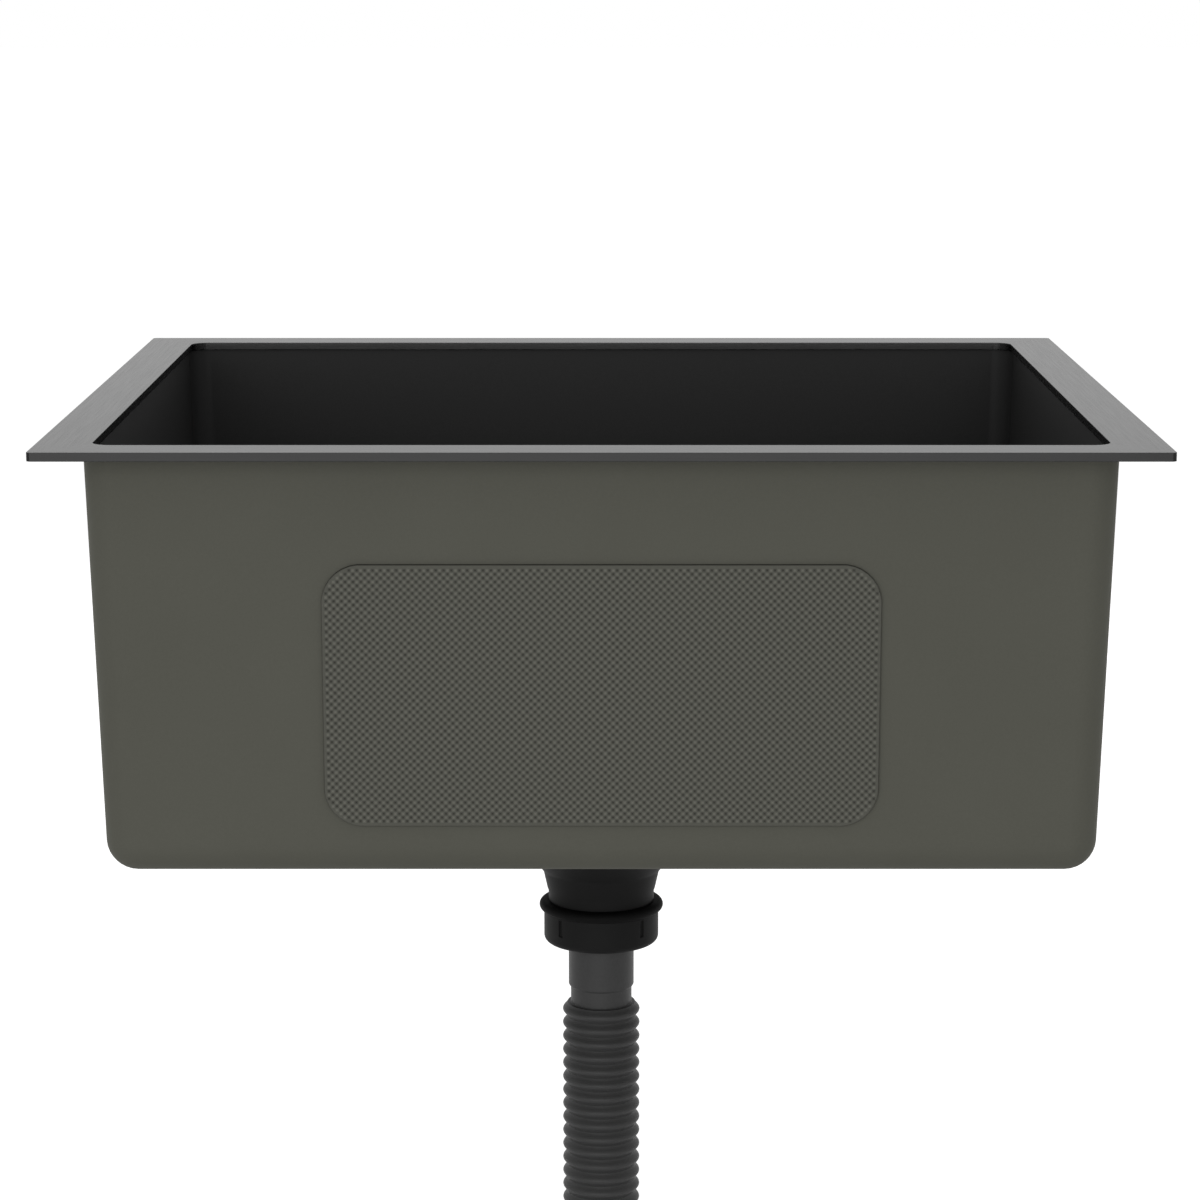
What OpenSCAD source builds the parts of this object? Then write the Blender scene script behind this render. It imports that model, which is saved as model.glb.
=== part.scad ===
// Kitchen sink: a bowl of stainless sheet welded into a flat rim plate, coated and padded outside,
// with its basket strainer, outlet and ribbed drain hose. Millimetres, +Z up, front towards -Y.
// The origin is the centre of the rim's opening, in the plane of the rim's underside.

/* [Rim] */
// Width of the rim plate, left to right
rim_w = 500; // [440:1:700]
// Depth of the rim plate, front to back
rim_d = 440; // [400:1:520]
// Thickness of the rim plate
rim_t = 4; // [3:0.1:5]
// Radius of the rim plate's outer corners
rim_corner_r = 2; // [1:0.5:12]
// Width of the flat band left and right of the opening
side_band = 24.7; // [20:0.1:40]
// Width of the flat band in front of and behind the opening
front_band = 23.2; // [20:0.1:40]
// Radius of the opening's corners
opening_corner_r = 9; // [6:0.5:14]
// Depth of the rebate in the rim's underside that takes the top edge of the bowl
rebate_h = 0.6; // [0.3:0.1:1.5]

/* [Bowl] */
// Depth from the top of the rim to the underside of the coated bowl
bowl_depth = 196.6; // [185:0.1:230]
// Thickness of the bowl's sheet
sheet_t = 1.2; // [0.8:0.1:2]
// Distance that the bowl's wall stands back from the edge of the opening
wall_step = 1.7; // [0.5:0.1:3]
// Inside radius of the bowl's upright corners
corner_r = 9; // [8:0.5:20]
// Inside radius of the bend between the walls and the floor
bend_r = 11.5; // [8:0.5:20]
// Slope of the walls in degrees
draft = 1.6; // [0.5:0.1:4]
// Fall of the floor from its edges to the drain
floor_fall = 3; // [1:0.5:6]
// Depth of the seat pressed into the floor around the drain
press_depth = 2.5; // [2:0.1:4]
// Width of the level ring of floor around the pressed seat
level_w = 4; // [2:0.5:10]

/* [Coating and pads] */
// Thickness of the sprayed coating
coat_t = 1.5; // [0.8:0.1:3]
// Long side of a sound-damping pad
pad_w = 248.5; // [150:0.5:300]
// Short side of a sound-damping pad on a wall
pad_h = 120; // [80:1:130]
// Thickness of a pad
pad_t = 2; // [1:0.1:4]
// Radius of a pad's corners
pad_corner_r = 18; // [4:1:20]
// Distance from the rim's underside to the upper edge of the pads
pad_drop = 48.8; // [20:0.1:60]
// Width of a pad under the floor, left to right
base_pad_w = 85; // [50:1:100]
// Depth of a pad under the floor, front to back
base_pad_d = 170; // [100:1:220]
// Distance from the bend at the floor's edge to a pad under the floor
base_pad_edge = 16; // [8:1:30]

/* [Strainer dish] */
// Radius of the dish's flange
flange_r = 57; // [54:0.5:62]
// Thickness of the flange
flange_t = 1.2; // [0.8:0.1:2]
// Thickness of the dish's wall and floor
dish_t = 1; // [0.8:0.1:1.5]
// Inside radius of the dish's mouth
throat_r = 42.2; // [40:0.1:44]
// Distance from the flange's top to the ledge that carries the basket
ledge_drop = 5.6; // [4:0.1:8]
// Width of the ledge
ledge_w = 2.7; // [2:0.1:4]
// Depth of the dish from the flange's top to its floor
dish_depth = 38.6; // [36:0.1:50]
// Radius of the dish's floor
dish_floor_r = 30.5; // [28:0.5:33]
// Radius of the drain opening in the dish's floor
drain_r = 20; // [17:0.5:21]
// Width of the four arms across the drain opening
arm_w = 5; // [3:0.5:6]
// Radius of the hub where the arms meet
hub_r = 7.5; // [6.5:0.5:9]
// Chamfer at the dish's mouth and on the flange's rim
dish_edge = 0.8; // [0.3:0.1:1]
// Gap around the dish in the bowl's hole
hole_gap = 1.8; // [1:0.1:3]
// Margin of the pressed seat around the flange
press_margin = 3; // [1:0.5:6]

/* [Gaskets] */
// Thickness of the gasket under the flange
top_gasket_t = 1.5; // [1:0.1:2]
// Distance that this gasket stays inside the flange's edge
gasket_inset = 1; // [0:0.5:3]
// Thickness of the gasket under the bowl
body_gasket_t = 3; // [2:0.5:5]

/* [Basket] */
// Thickness of the basket's sheet
basket_t = 0.8; // [0.5:0.1:1.2]
// Depth of the basket from its lip to its underside
basket_depth = 18; // [15:0.5:19]
// Radius of the basket's floor
basket_floor_r = 30; // [28:0.5:31]
// Radius of one strainer hole
strain_r = 1.75; // [1:0.05:2]
// Distance between neighbouring strainer holes
strain_pitch = 5.5; // [5:0.1:8]
// Holes around the basket's wall
wall_holes = 24; // [12:1:30]
// Land between the stem's bush and the first ring of holes
hole_land = 2; // [1:0.5:4]
// Gap between the basket's wall and the dish below the ledge
basket_gap = 0.9; // [0.5:0.1:2]

/* [Plug] */
// Radius of the rubber seal
seal_r = 24; // [22:0.5:26]
// Thickness of the seal under the stem's foot
seal_t = 4; // [3.5:0.1:5]
// Radius of the stem's foot
foot_r = 12; // [10:0.5:14]
// Thickness of the stem's foot
foot_t = 1.5; // [1:0.1:2]
// Thickness of the seal's lip over the foot
seal_lip_t = 0.6; // [0.4:0.1:0.8]
// Width of the seal's lip over the foot
seal_lip_w = 3; // [2:0.5:4]
// Size of the slopes at the seal's edges
seal_edge = 1; // [0.5:0.1:1.2]
// Headroom over the fixing screw under the seal
head_room = 0.4; // [0.2:0.1:0.6]
// Radius of the stem
stem_r = 3; // [2.5:0.1:3.5]
// Length of the stem between its foot and the knob
stem_len = 22; // [20:0.5:26]
// Radius of the knob
knob_r = 10; // [8:0.5:12]
// Height of the knob
knob_h = 8.5; // [7:0.5:12]
// Depth of the stem's end in the knob
knob_grip = 5; // [3:0.5:6]
// Radius of the neck of the stem's bush
bush_r = 6.5; // [6:0.1:8]
// Width of the bush's flange
bush_flange_w = 2; // [1.5:0.1:3]
// Thickness of the bush's flange and of its top
bush_t = 0.6; // [0.5:0.1:1]
// Length of the bush's neck below the basket
bush_below = 0.4; // [0.2:0.1:0.6]
// Radius of the O-ring's cord
o_ring_cord_r = 0.85; // [0.6:0.05:1]

/* [Outlet body] */
// Thickness of the outlet body's wall
body_wall = 2.5; // [2:0.1:3]
// Thickness of the outlet body's flange
body_flange_t = 4; // [3:0.5:6]
// Width of the flange outside the cup
body_flange_w = 5; // [3:0.5:8]
// Outer radius of the funnel where it leaves the cup's shoulder
funnel_r = 29.4; // [28.5:0.1:31]
// Drop from the dish's floor to the top of the funnel
funnel_drop = 11.5; // [9:0.5:14]
// Height of the funnel's sloping part
funnel_h = 10.3; // [6:0.1:12]
// Height of the funnel's straight end
funnel_end_h = 4.8; // [2:0.1:8]
// Outer radius of the funnel's straight end
funnel_end_r = 26.85; // [26:0.05:28]
// Radius of the threaded spigot
spigot_r = 24; // [23:0.1:25]
// Radius of the waterway in the spigot
spigot_bore_r = 20.5; // [19:0.1:21]
// Gap between the dish and the cup around it
cup_gap = 1; // [0.5:0.1:2]
// Height from the dish's floor to the cup's shoulder
shoulder_rise = 6; // [3:0.5:10]
// Drop from the dish's floor to the foot of the shoulder
shoulder_drop = 2.5; // [1:0.5:4]
// Gap between the dish's floor and the shoulder around it
shoulder_gap = 2.5; // [1.5:0.5:4]
// Length of the boss that holds the fixing screw's insert
boss_l = 17; // [14:0.5:20]
// Wall of the boss around the insert
boss_wall = 2.5; // [1.5:0.1:3]
// Thickness of the arms that carry the boss
boss_arm_t = 4; // [3:0.5:5]
// Height of the arms that carry the boss
boss_arm_h = 10; // [6:0.5:12]

/* [Fixing screw] */
// Radius of the screw's thread
screw_r = 3; // [2.5:0.1:3.5]
// Length of the screw under its head
screw_l = 15.5; // [14:0.5:17]
// Radius of the screw's pan head
screw_head_r = 5.5; // [5:0.1:6]
// Height of the screw's pan head
screw_head_h = 2.2; // [1.8:0.1:2.4]
// Width and depth of the slot in the screw's head
screw_slot = 1.2; // [0.8:0.1:1.4]
// Length of the threaded insert
insert_l = 12; // [8:0.5:14]
// Radius of the threaded insert
insert_r = 4.5; // [4.2:0.1:5]

/* [Joint ring and union nut] */
// Height of the rubber joint ring
ring_h = 5.2; // [4:0.1:12]
// Outermost radius of the joint ring
ring_r = 31.5; // [30:0.1:33]
// Height of the flat above and below the ring's round side
ring_flat = 0.1; // [0.05:0.05:1]
// Height of the union nut
nut_h = 16.6; // [13:0.1:18]
// Thickness of the nut's wall
nut_wall = 4.95; // [4:0.05:6]
// Thickness of the nut's lower lip
nut_lip_t = 3.2; // [2:0.1:4]
// Radius of the nut's lower edge
nut_round = 3.3; // [1:0.1:4]
// Number of grip notches around the nut
notch_n = 4; // [4:1:12]
// Width of a grip notch
notch_w = 2.6; // [1.5:0.1:4]
// Depth of a grip notch
notch_depth = 1; // [0.5:0.1:2]
// Height of a grip notch's lower end above the nut's lower end
notch_rise = 7; // [4:0.1:9]
// Thickness of the flat washer between spigot and hose
washer_t = 2; // [1.5:0.1:3]

/* [Drain hose] */
// Thickness of the collar that the nut holds
collar_t = 2.2; // [1.5:0.1:3]
// Distance that the collar and its washer stay inside the spigot's thread
collar_inset = 1.5; // [0.5:0.1:2]
// Outer radius of the hose's plain cuffs
cuff_r = 16.65; // [15:0.05:18]
// Length of the upper cuff below the nut's lip
cuff_l = 27.2; // [22:0.1:40]
// Outer radius of the neck between cuff and ribs
neck_r = 15.55; // [14.5:0.05:16]
// Length of a neck
neck_l = 8.9; // [6:0.1:15]
// Outer radius of the ribs
crest_r = 19.7; // [18.5:0.1:22]
// Outer radius of the valleys between ribs
valley_r = 17.3; // [16.5:0.1:18]
// Rounding at the crest of a rib
rib_round = 0.9; // [0.4:0.1:1.2]
// Distance from one rib to the next
rib_pitch = 7.25; // [6:0.05:10]
// Number of ribs
rib_n = 45; // [10:1:80]
// Thickness of the hose's wall
hose_wall = 1.2; // [0.8:0.1:2]
// Length of the lower cuff
tail_l = 26.55; // [20:0.05:40]

/* [Hose end] */
// Radius of the waste spigot at the hose's end
waste_r = 20; // [19:0.5:25]
// Length of the waste spigot
waste_l = 30; // [20:1:60]
// Radius of the larger step above the waste spigot
step_r = 25; // [22.5:0.5:27]
// Height of the larger step
step_h = 18; // [10:1:30]
// Wall of the socket that takes the hose's lower cuff
socket_wall = 3; // [2:0.5:5]
// Depth of that socket
socket_l = 20; // [15:1:24]
// Chamfer at the edges of the larger step
step_edge = 1.5; // [0.5:0.5:3]

/* [Fits] */
// Gap between pieces that are fixed to each other
fixed_gap = 0.1; // [0.05:0.05:0.2]
// Gap under a pad, filled by its glue
glue_gap = 0.05; // [0.02:0.01:0.2]
// Radial gap around the stem, which slides in its bush
slide_gap = 0.15; // [0.1:0.05:0.3]
// Gap under a piece that rests on its seat and lifts off
rest_gap = 0.2; // [0.1:0.05:0.3]
// Gap around the basket's lip in the dish's mouth
lip_gap = 0.4; // [0.2:0.05:0.8]

/* [Hidden] */
$fn = 72;

// Segments in a round corner that a hull joins, and steps in the bend at the floor
corner_fn = 32;
bend_steps = 8;
// How far a cut runs past a face, and the level above the rim that the bowl's form reaches
past = 1;
reach_z = 20;

// Opening and bowl, seen from above
opening_w = rim_w - 2 * side_band;
opening_d = rim_d - 2 * front_band;
in_w = opening_w + 2 * wall_step;
in_d = opening_d + 2 * wall_step;
skin_t = sheet_t + coat_t;

// Levels of the bowl
underside_z = rim_t - bowl_depth;
floor_z = underside_z + skin_t;
sump_z = floor_z - floor_fall;
seat_z = sump_z - press_depth;
press_z = seat_z - sheet_t;

// The hole in the bowl and the pressed seat follow the dish
press_r = flange_r + press_margin;
hole_r = throat_r + dish_t + hole_gap;
coat_hole_r = press_r + sheet_t + fixed_gap;
fall_r = coat_hole_r + level_w;

// Levels and radii of the strainer dish
flange_top_z = seat_z + top_gasket_t + flange_t;
ledge_z = flange_top_z - ledge_drop;
ledge_r = throat_r - ledge_w;
dish_z = flange_top_z - dish_depth;

// Basket and stem bush
basket_z = ledge_z + rest_gap;
basket_low_z = basket_z - basket_depth;
basket_floor_z = basket_low_z + basket_t;
basket_wall_r = ledge_r - basket_gap;
lip_r = throat_r - lip_gap;
bush_flange_r = bush_r + bush_flange_w;
bush_bore_r = stem_r + slide_gap;
groove_r = stem_r + 2 * o_ring_cord_r + 2 * fixed_gap;
groove_h = 2 * o_ring_cord_r + fixed_gap;
groove_z = basket_floor_z + bush_t;

// Plug
seal_z = dish_z + rest_gap;
foot_z = seal_z + seal_t;
knob_z = foot_z + foot_t + stem_len;
knob_bore_r = stem_r + fixed_gap / 2;

// Outlet body
body_z = press_z - body_gasket_t;
cup_in_r = ledge_r + dish_t + cup_gap;
cup_r = cup_in_r + body_wall;
body_flange_r = cup_r + body_flange_w;
cup_z = dish_z + shoulder_rise;
shoulder_z = dish_z - shoulder_drop;
shoulder_r = dish_floor_r + dish_t + shoulder_gap + body_wall;
funnel_z = dish_z - funnel_drop;
funnel_end_z = funnel_z - funnel_h;
spigot_z = funnel_end_z - funnel_end_h;
boss_z = dish_z - dish_t - rest_gap;
boss_r = insert_r + boss_wall;
boss_low_z = boss_z - boss_l;

// Joint ring, nut and washer
ring_z = spigot_z - ring_h;
ring_round = ring_h / 2 - ring_flat;
nut_low_z = ring_z - nut_h;
nut_bore_r = spigot_r + 2 * fixed_gap;
nut_r = nut_bore_r + nut_wall;
lip_z = nut_low_z + nut_lip_t;
collar_z = lip_z + collar_t;
spigot_end_z = collar_z + washer_t;
collar_r = spigot_r - collar_inset;

// Drain hose and its end
hose_bore_r = neck_r - hose_wall;
shoulder_rib_r = crest_r - rib_round;
cuff_end_z = lip_z - cuff_l;
ribs_z = cuff_end_z - neck_l;
ribs_end_z = ribs_z - rib_n * rib_pitch;
tail_z = ribs_end_z - neck_l;
hose_end_z = tail_z - tail_l;
socket_z = hose_end_z - fixed_gap;
socket_r = cuff_r + fixed_gap;
waste_z = socket_z - step_h;

// A rectangle with round corners, centred on the origin
module rounded_rect(w, d, r) {
    square([w - 2 * r, d], center = true);
    square([w, d - 2 * r], center = true);
    for (x = [-1, 1], y = [-1, 1])
        translate([x * (w / 2 - r), y * (d / 2 - r)])
            circle(r = r);
}

// A ring from radius a to radius b, from level low to level high
module ring(a, b, low, high) {
    translate([0, 0, low])
        difference() {
            cylinder(r = b, h = high - low);
            translate([0, 0, -past])
                cylinder(r = a, h = high - low + 2 * past);
        }
}

// Half of the bowl's inner size at level z, from half of its size at the top
function wall_at(half, z) = half - (rebate_h - z) * tan(draft);

// The quarter bend at a corner of the floor, turned about its upright axis
module corner_bend(r) {
    rotate_extrude($fn = corner_fn)
        polygon(concat([[0, 0]], [
            for (i = [0 : bend_steps])
                [r * cos(90 * i / bend_steps), -r * sin(90 * i / bend_steps)]
        ]));
}

// The bowl filled solid and grown outwards by g, reaching above the rim, with its floor falling
// to a round centre
module tub(g) {
    centre_z = floor_z + bend_r;
    top_x = wall_at(in_w / 2, reach_z) - corner_r;
    top_y = wall_at(in_d / 2, reach_z) - corner_r;
    low_x = wall_at(in_w / 2, centre_z) - bend_r;
    low_y = wall_at(in_d / 2, centre_z) - bend_r;
    hull() {
        for (x = [-1, 1], y = [-1, 1]) {
            translate([x * top_x, y * top_y, reach_z])
                cylinder(r = corner_r + g, h = past, $fn = corner_fn);
            translate([x * low_x, y * low_y, centre_z])
                corner_bend(bend_r + g);
        }
        translate([0, 0, sump_z - g])
            cylinder(r = fall_r, h = past, $fn = corner_fn);
    }
}

// Everything above the bowl's top edge
module above_bowl() {
    translate([-rim_w, -rim_d, rebate_h])
        cube([2 * rim_w, 2 * rim_d, reach_z + 2 * past]);
}

module rim_plate() {
    color("#8f8f8f")
        difference() {
            linear_extrude(rim_t)
                difference() {
                    rounded_rect(rim_w, rim_d, rim_corner_r);
                    rounded_rect(opening_w, opening_d, opening_corner_r);
                }
            translate([0, 0, -past])
                linear_extrude(past + rebate_h)
                    rounded_rect(in_w + 2 * (skin_t + fixed_gap), in_d + 2 * (skin_t + fixed_gap),
                        corner_r + skin_t + fixed_gap);
        }
}

module bowl() {
    color("#3c3c3c")
        difference() {
            union() {
                tub(sheet_t);
                translate([0, 0, press_z])
                    cylinder(r = press_r + sheet_t, h = press_depth + sheet_t);
            }
            tub(0);
            above_bowl();
            translate([0, 0, seat_z])
                cylinder(r = press_r, h = press_depth + past);
            translate([0, 0, press_z - past])
                cylinder(r = hole_r, h = press_depth + sheet_t + 2 * past);
        }
}

module bowl_coating() {
    color("#54544b")
        difference() {
            tub(skin_t);
            tub(sheet_t);
            above_bowl();
            translate([0, 0, press_z - past])
                cylinder(r = coat_hole_r, h = floor_fall + press_depth + sheet_t + 2 * past);
        }
}

// A pad lying on the wall whose top is half from the centre, turned to that side of the bowl
module wall_pad(half, turn) {
    z = -pad_drop - pad_h / 2;
    color("#51514a")
        rotate([0, 0, turn])
            translate([0, -wall_at(half, z) - skin_t - glue_gap, z])
                rotate([90 + draft, 0, 0])
                    linear_extrude(pad_t)
                        rounded_rect(pad_w, pad_h, pad_corner_r);
}

// A pad under the floor, following the fall of the floor, on side -1 or 1
module base_pad(side) {
    low_x = wall_at(in_w / 2, floor_z + bend_r) - bend_r;
    fall = atan(floor_fall / (low_x - fall_r));
    x = low_x - base_pad_edge - base_pad_w / 2;
    z = underside_z - floor_fall * (low_x - x) / (low_x - fall_r);
    color("#51514a")
        translate([side * x, 0, z])
            rotate([0, -side * fall, 0])
                translate([0, 0, -pad_t - glue_gap])
                    linear_extrude(pad_t)
                        rounded_rect(base_pad_w, base_pad_d, pad_corner_r);
}

module pad_front() {
    wall_pad(in_d / 2, 0);
}

module pad_rear() {
    wall_pad(in_d / 2, 180);
}

module pad_left() {
    wall_pad(in_w / 2, -90);
}

module pad_right() {
    wall_pad(in_w / 2, 90);
}

module pad_base_left() {
    base_pad(-1);
}

module pad_base_right() {
    base_pad(1);
}

module flange_gasket() {
    color("#1b1b1b")
        ring(hole_r, flange_r - gasket_inset, seat_z, seat_z + top_gasket_t);
}

module strainer_dish() {
    under_z = flange_top_z - flange_t;
    color("#4a4a4a") {
        difference() {
            union() {
                rotate_extrude()
                    polygon([
                        [flange_r - dish_edge, flange_top_z], [throat_r + dish_edge, flange_top_z],
                        [throat_r, flange_top_z - dish_edge], [throat_r, ledge_z], [ledge_r, ledge_z],
                        [dish_floor_r, dish_z], [drain_r, dish_z], [drain_r, dish_z - dish_t],
                        [dish_floor_r + dish_t / 2, dish_z - dish_t],
                        [ledge_r + dish_t, ledge_z - dish_t],
                        [throat_r + dish_t, ledge_z - dish_t], [throat_r + dish_t, under_z],
                        [flange_r, under_z], [flange_r, under_z + flange_t / 2]
                    ]);
                translate([0, 0, dish_z - dish_t])
                    cylinder(r = hub_r, h = dish_t);
                for (turn = [0, 90])
                    rotate([0, 0, turn])
                        translate([-drain_r - past, -arm_w / 2, dish_z - dish_t])
                            cube([2 * (drain_r + past), arm_w, dish_t]);
            }
            translate([0, 0, dish_z - dish_t - past])
                cylinder(r = screw_r + fixed_gap, h = dish_t + 2 * past);
        }
    }
}

module body_gasket() {
    color("#1b1b1b")
        ring(throat_r + dish_t + fixed_gap, body_flange_r, body_z, press_z);
}

module outlet_body() {
    inner_shoulder_r = shoulder_r - body_wall;
    color("#1e1e1e") {
        rotate_extrude()
            polygon([
                [cup_in_r, body_z], [body_flange_r, body_z], [body_flange_r, body_z - body_flange_t],
                [cup_r, body_z - body_flange_t], [cup_r, cup_z], [shoulder_r, shoulder_z],
                [funnel_r, funnel_z], [funnel_end_r, funnel_end_z], [funnel_end_r, spigot_z],
                [spigot_r, spigot_z], [spigot_r, spigot_end_z], [spigot_bore_r, spigot_end_z],
                [spigot_bore_r, spigot_z], [funnel_end_r - body_wall, funnel_end_z],
                [funnel_r - body_wall, funnel_z], [inner_shoulder_r, shoulder_z],
                [cup_in_r, cup_z]
            ]);
        difference() {
            translate([0, 0, boss_low_z])
                cylinder(r = boss_r, h = boss_l);
            translate([0, 0, boss_low_z - past])
                cylinder(r = screw_r + 2 * fixed_gap, h = boss_l + 2 * past);
            translate([0, 0, boss_low_z - past])
                cylinder(r = insert_r + fixed_gap, h = insert_l + past);
        }
        for (turn = [45 : 90 : 315])
            rotate([0, 0, turn])
                translate([insert_r + boss_wall / 2, -boss_arm_t / 2, boss_low_z])
                    cube([funnel_end_r - boss_r, boss_arm_t, boss_arm_h]);
    }
}

module fixing_screw() {
    color("#9a9a9a")
        difference() {
            union() {
                translate([0, 0, dish_z - screw_l])
                    cylinder(r = screw_r, h = screw_l + (screw_head_h - screw_slot) / 2);
                translate([0, 0, dish_z])
                    cylinder(r1 = screw_head_r, r2 = screw_head_r - screw_head_h / 2, h = screw_head_h);
            }
            translate([-screw_head_r, -screw_slot / 2, dish_z + screw_head_h - screw_slot])
                cube([2 * screw_head_r, screw_slot, screw_slot + past]);
        }
}

module screw_insert() {
    color("#b08d57")
        ring(screw_r + fixed_gap, insert_r, boss_low_z, boss_low_z + insert_l);
}

module basket() {
    top_z = basket_z + basket_t;
    first_r = bush_flange_r + strain_r + hole_land;
    hole_z = basket_z - basket_depth / 2;
    color("#4a4a4a")
        difference() {
            rotate_extrude()
                polygon([
                    [lip_r, top_z], [lip_r, basket_z], [basket_wall_r, basket_z],
                    [basket_floor_r, basket_low_z], [bush_r + fixed_gap, basket_low_z],
                    [bush_r + fixed_gap, basket_low_z + basket_t],
                    [basket_floor_r - basket_t / 2, basket_low_z + basket_t],
                    [basket_wall_r - basket_t, top_z]
                ]);
            for (r = [first_r : strain_pitch : basket_floor_r - 2 * strain_r])
                let (count = floor(2 * PI * r / strain_pitch))
                    for (i = [0 : count - 1])
                        rotate([0, 0, 360 * i / count])
                            translate([r, 0, basket_low_z - past])
                                cylinder(r = strain_r, h = basket_t + 2 * past, $fn = 24);
            for (i = [0 : wall_holes - 1])
                rotate([0, 0, 360 * i / wall_holes])
                    translate([basket_floor_r - 2 * past, 0, hole_z])
                        rotate([0, 90, 0])
                            cylinder(r = strain_r, h = ledge_r - basket_floor_r + 4 * past, $fn = 24);
        }
}

module stem_bush() {
    low_z = basket_low_z - bush_below;
    roof_z = groove_z + groove_h;
    color("#d8d8d4")
        rotate_extrude()
            polygon([
                [bush_bore_r, low_z], [bush_r, low_z], [bush_r, basket_floor_z],
                [bush_flange_r, basket_floor_z], [bush_flange_r, groove_z],
                [bush_r, roof_z + bush_t], [bush_bore_r, roof_z + bush_t], [bush_bore_r, roof_z],
                [groove_r, roof_z], [groove_r, groove_z], [bush_bore_r, groove_z]
            ]);
}

module stem_o_ring() {
    color("#111111")
        translate([0, 0, groove_z + groove_h / 2])
            rotate_extrude()
                translate([stem_r + fixed_gap + o_ring_cord_r, 0])
                    circle(r = o_ring_cord_r);
}

module plug_stem() {
    color("#9a9a9a") {
        translate([0, 0, foot_z])
            cylinder(r = foot_r, h = foot_t);
        translate([0, 0, foot_z])
            cylinder(r = stem_r, h = foot_t + stem_len + knob_grip);
    }
}

module plug_seal() {
    under_lip_z = foot_z + foot_t + fixed_gap;
    lip_top_z = under_lip_z + seal_lip_t;
    pocket_r = foot_r + fixed_gap;
    head_z = seal_z + screw_head_h + head_room;
    color("#161616")
        rotate_extrude()
            polygon([
                [0, foot_z], [pocket_r, foot_z], [pocket_r, under_lip_z],
                [foot_r - seal_lip_w, under_lip_z], [foot_r - seal_lip_w, lip_top_z],
                [foot_r + 2 * seal_edge, lip_top_z], [seal_r - seal_edge, foot_z - seal_edge],
                [seal_r, foot_z - 2 * seal_edge], [seal_r, seal_z + seal_edge / 2],
                [seal_r - seal_edge / 2, seal_z], [hub_r, seal_z], [hub_r - seal_edge / 2, head_z],
                [0, head_z]
            ]);
}

module plug_knob() {
    color("#4a4a4a")
        difference() {
            translate([0, 0, knob_z])
                rotate_extrude()
                    polygon([
                        [0, 0], [knob_r * 0.55, 0], [knob_r * 0.5, knob_h * 0.3],
                        [knob_r * 0.92, knob_h * 0.5], [knob_r, knob_h * 0.62],
                        [knob_r, knob_h * 0.82], [knob_r * 0.88, knob_h], [0, knob_h]
                    ]);
            translate([0, 0, knob_z - past])
                cylinder(r = knob_bore_r, h = knob_grip + past);
        }
}

module joint_ring() {
    middle_z = ring_z + ring_round;
    bore_r = spigot_r + fixed_gap;
    color("#101010")
        difference() {
            union() {
                ring(bore_r, funnel_end_r, ring_z, spigot_z);
                ring(bore_r, ring_r - ring_round, middle_z - ring_round, middle_z + ring_round);
                translate([0, 0, middle_z])
                    rotate_extrude()
                        translate([ring_r - ring_round, 0])
                            circle(r = ring_round);
            }
            translate([0, 0, ring_z - past])
                cylinder(r = bore_r, h = ring_h + 2 * past);
        }
}

module union_nut() {
    round_z = nut_low_z + nut_round;
    color("#1e1e1e")
        difference() {
            union() {
                translate([0, 0, round_z])
                    cylinder(r = nut_r, h = nut_h - nut_round);
                translate([0, 0, nut_low_z])
                    cylinder(r = nut_r - nut_round, h = nut_h);
                translate([0, 0, round_z])
                    rotate_extrude()
                        translate([nut_r - nut_round, 0])
                            circle(r = nut_round);
            }
            translate([0, 0, lip_z])
                cylinder(r = nut_bore_r, h = nut_h);
            translate([0, 0, nut_low_z - past])
                cylinder(r = cuff_r + 3 * fixed_gap, h = nut_lip_t + 2 * past);
            for (i = [0 : notch_n - 1])
                rotate([0, 0, 45 + 360 * i / notch_n])
                    translate([nut_r - notch_depth, -notch_w / 2, nut_low_z + notch_rise])
                        cube([notch_depth + past, notch_w, nut_h - notch_rise - notch_depth]);
        }
}

module hose_washer() {
    color("#161616")
        ring(hose_bore_r, collar_r, collar_z, spigot_end_z);
}

// Outline of the ribs, one after another from the top
function rib_outside() = [
    for (i = [0 : rib_n - 1])
        let (z = ribs_z - (i + 0.5) * rib_pitch)
            each [
                [shoulder_rib_r, z + rib_pitch * 0.27], [crest_r, z + rib_pitch * 0.1],
                [crest_r, z - rib_pitch * 0.1], [shoulder_rib_r, z - rib_pitch * 0.27],
                [valley_r, z - rib_pitch * 0.5]
            ]
];

// Outline of the bore behind the ribs, from the bottom
function rib_inside() = [
    for (i = [rib_n - 1 : -1 : 0])
        let (z = ribs_z - (i + 0.5) * rib_pitch)
            each [[valley_r - hose_wall, z - rib_pitch * 0.5], [crest_r - hose_wall, z]]
];

module drain_hose() {
    chamfer = cuff_r - neck_r;
    color("#383838")
        rotate_extrude()
            polygon(concat(
                [
                    [hose_bore_r, collar_z], [collar_r, collar_z], [collar_r, lip_z], [cuff_r, lip_z],
                    [cuff_r, cuff_end_z + chamfer], [neck_r, cuff_end_z], [neck_r, ribs_z]
                ],
                rib_outside(),
                [
                    [neck_r, ribs_end_z], [neck_r, tail_z], [cuff_r, tail_z - chamfer],
                    [cuff_r, hose_end_z], [hose_bore_r, hose_end_z], [hose_bore_r, ribs_end_z]
                ],
                rib_inside(),
                [[hose_bore_r, ribs_z]]
            ));
}

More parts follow.
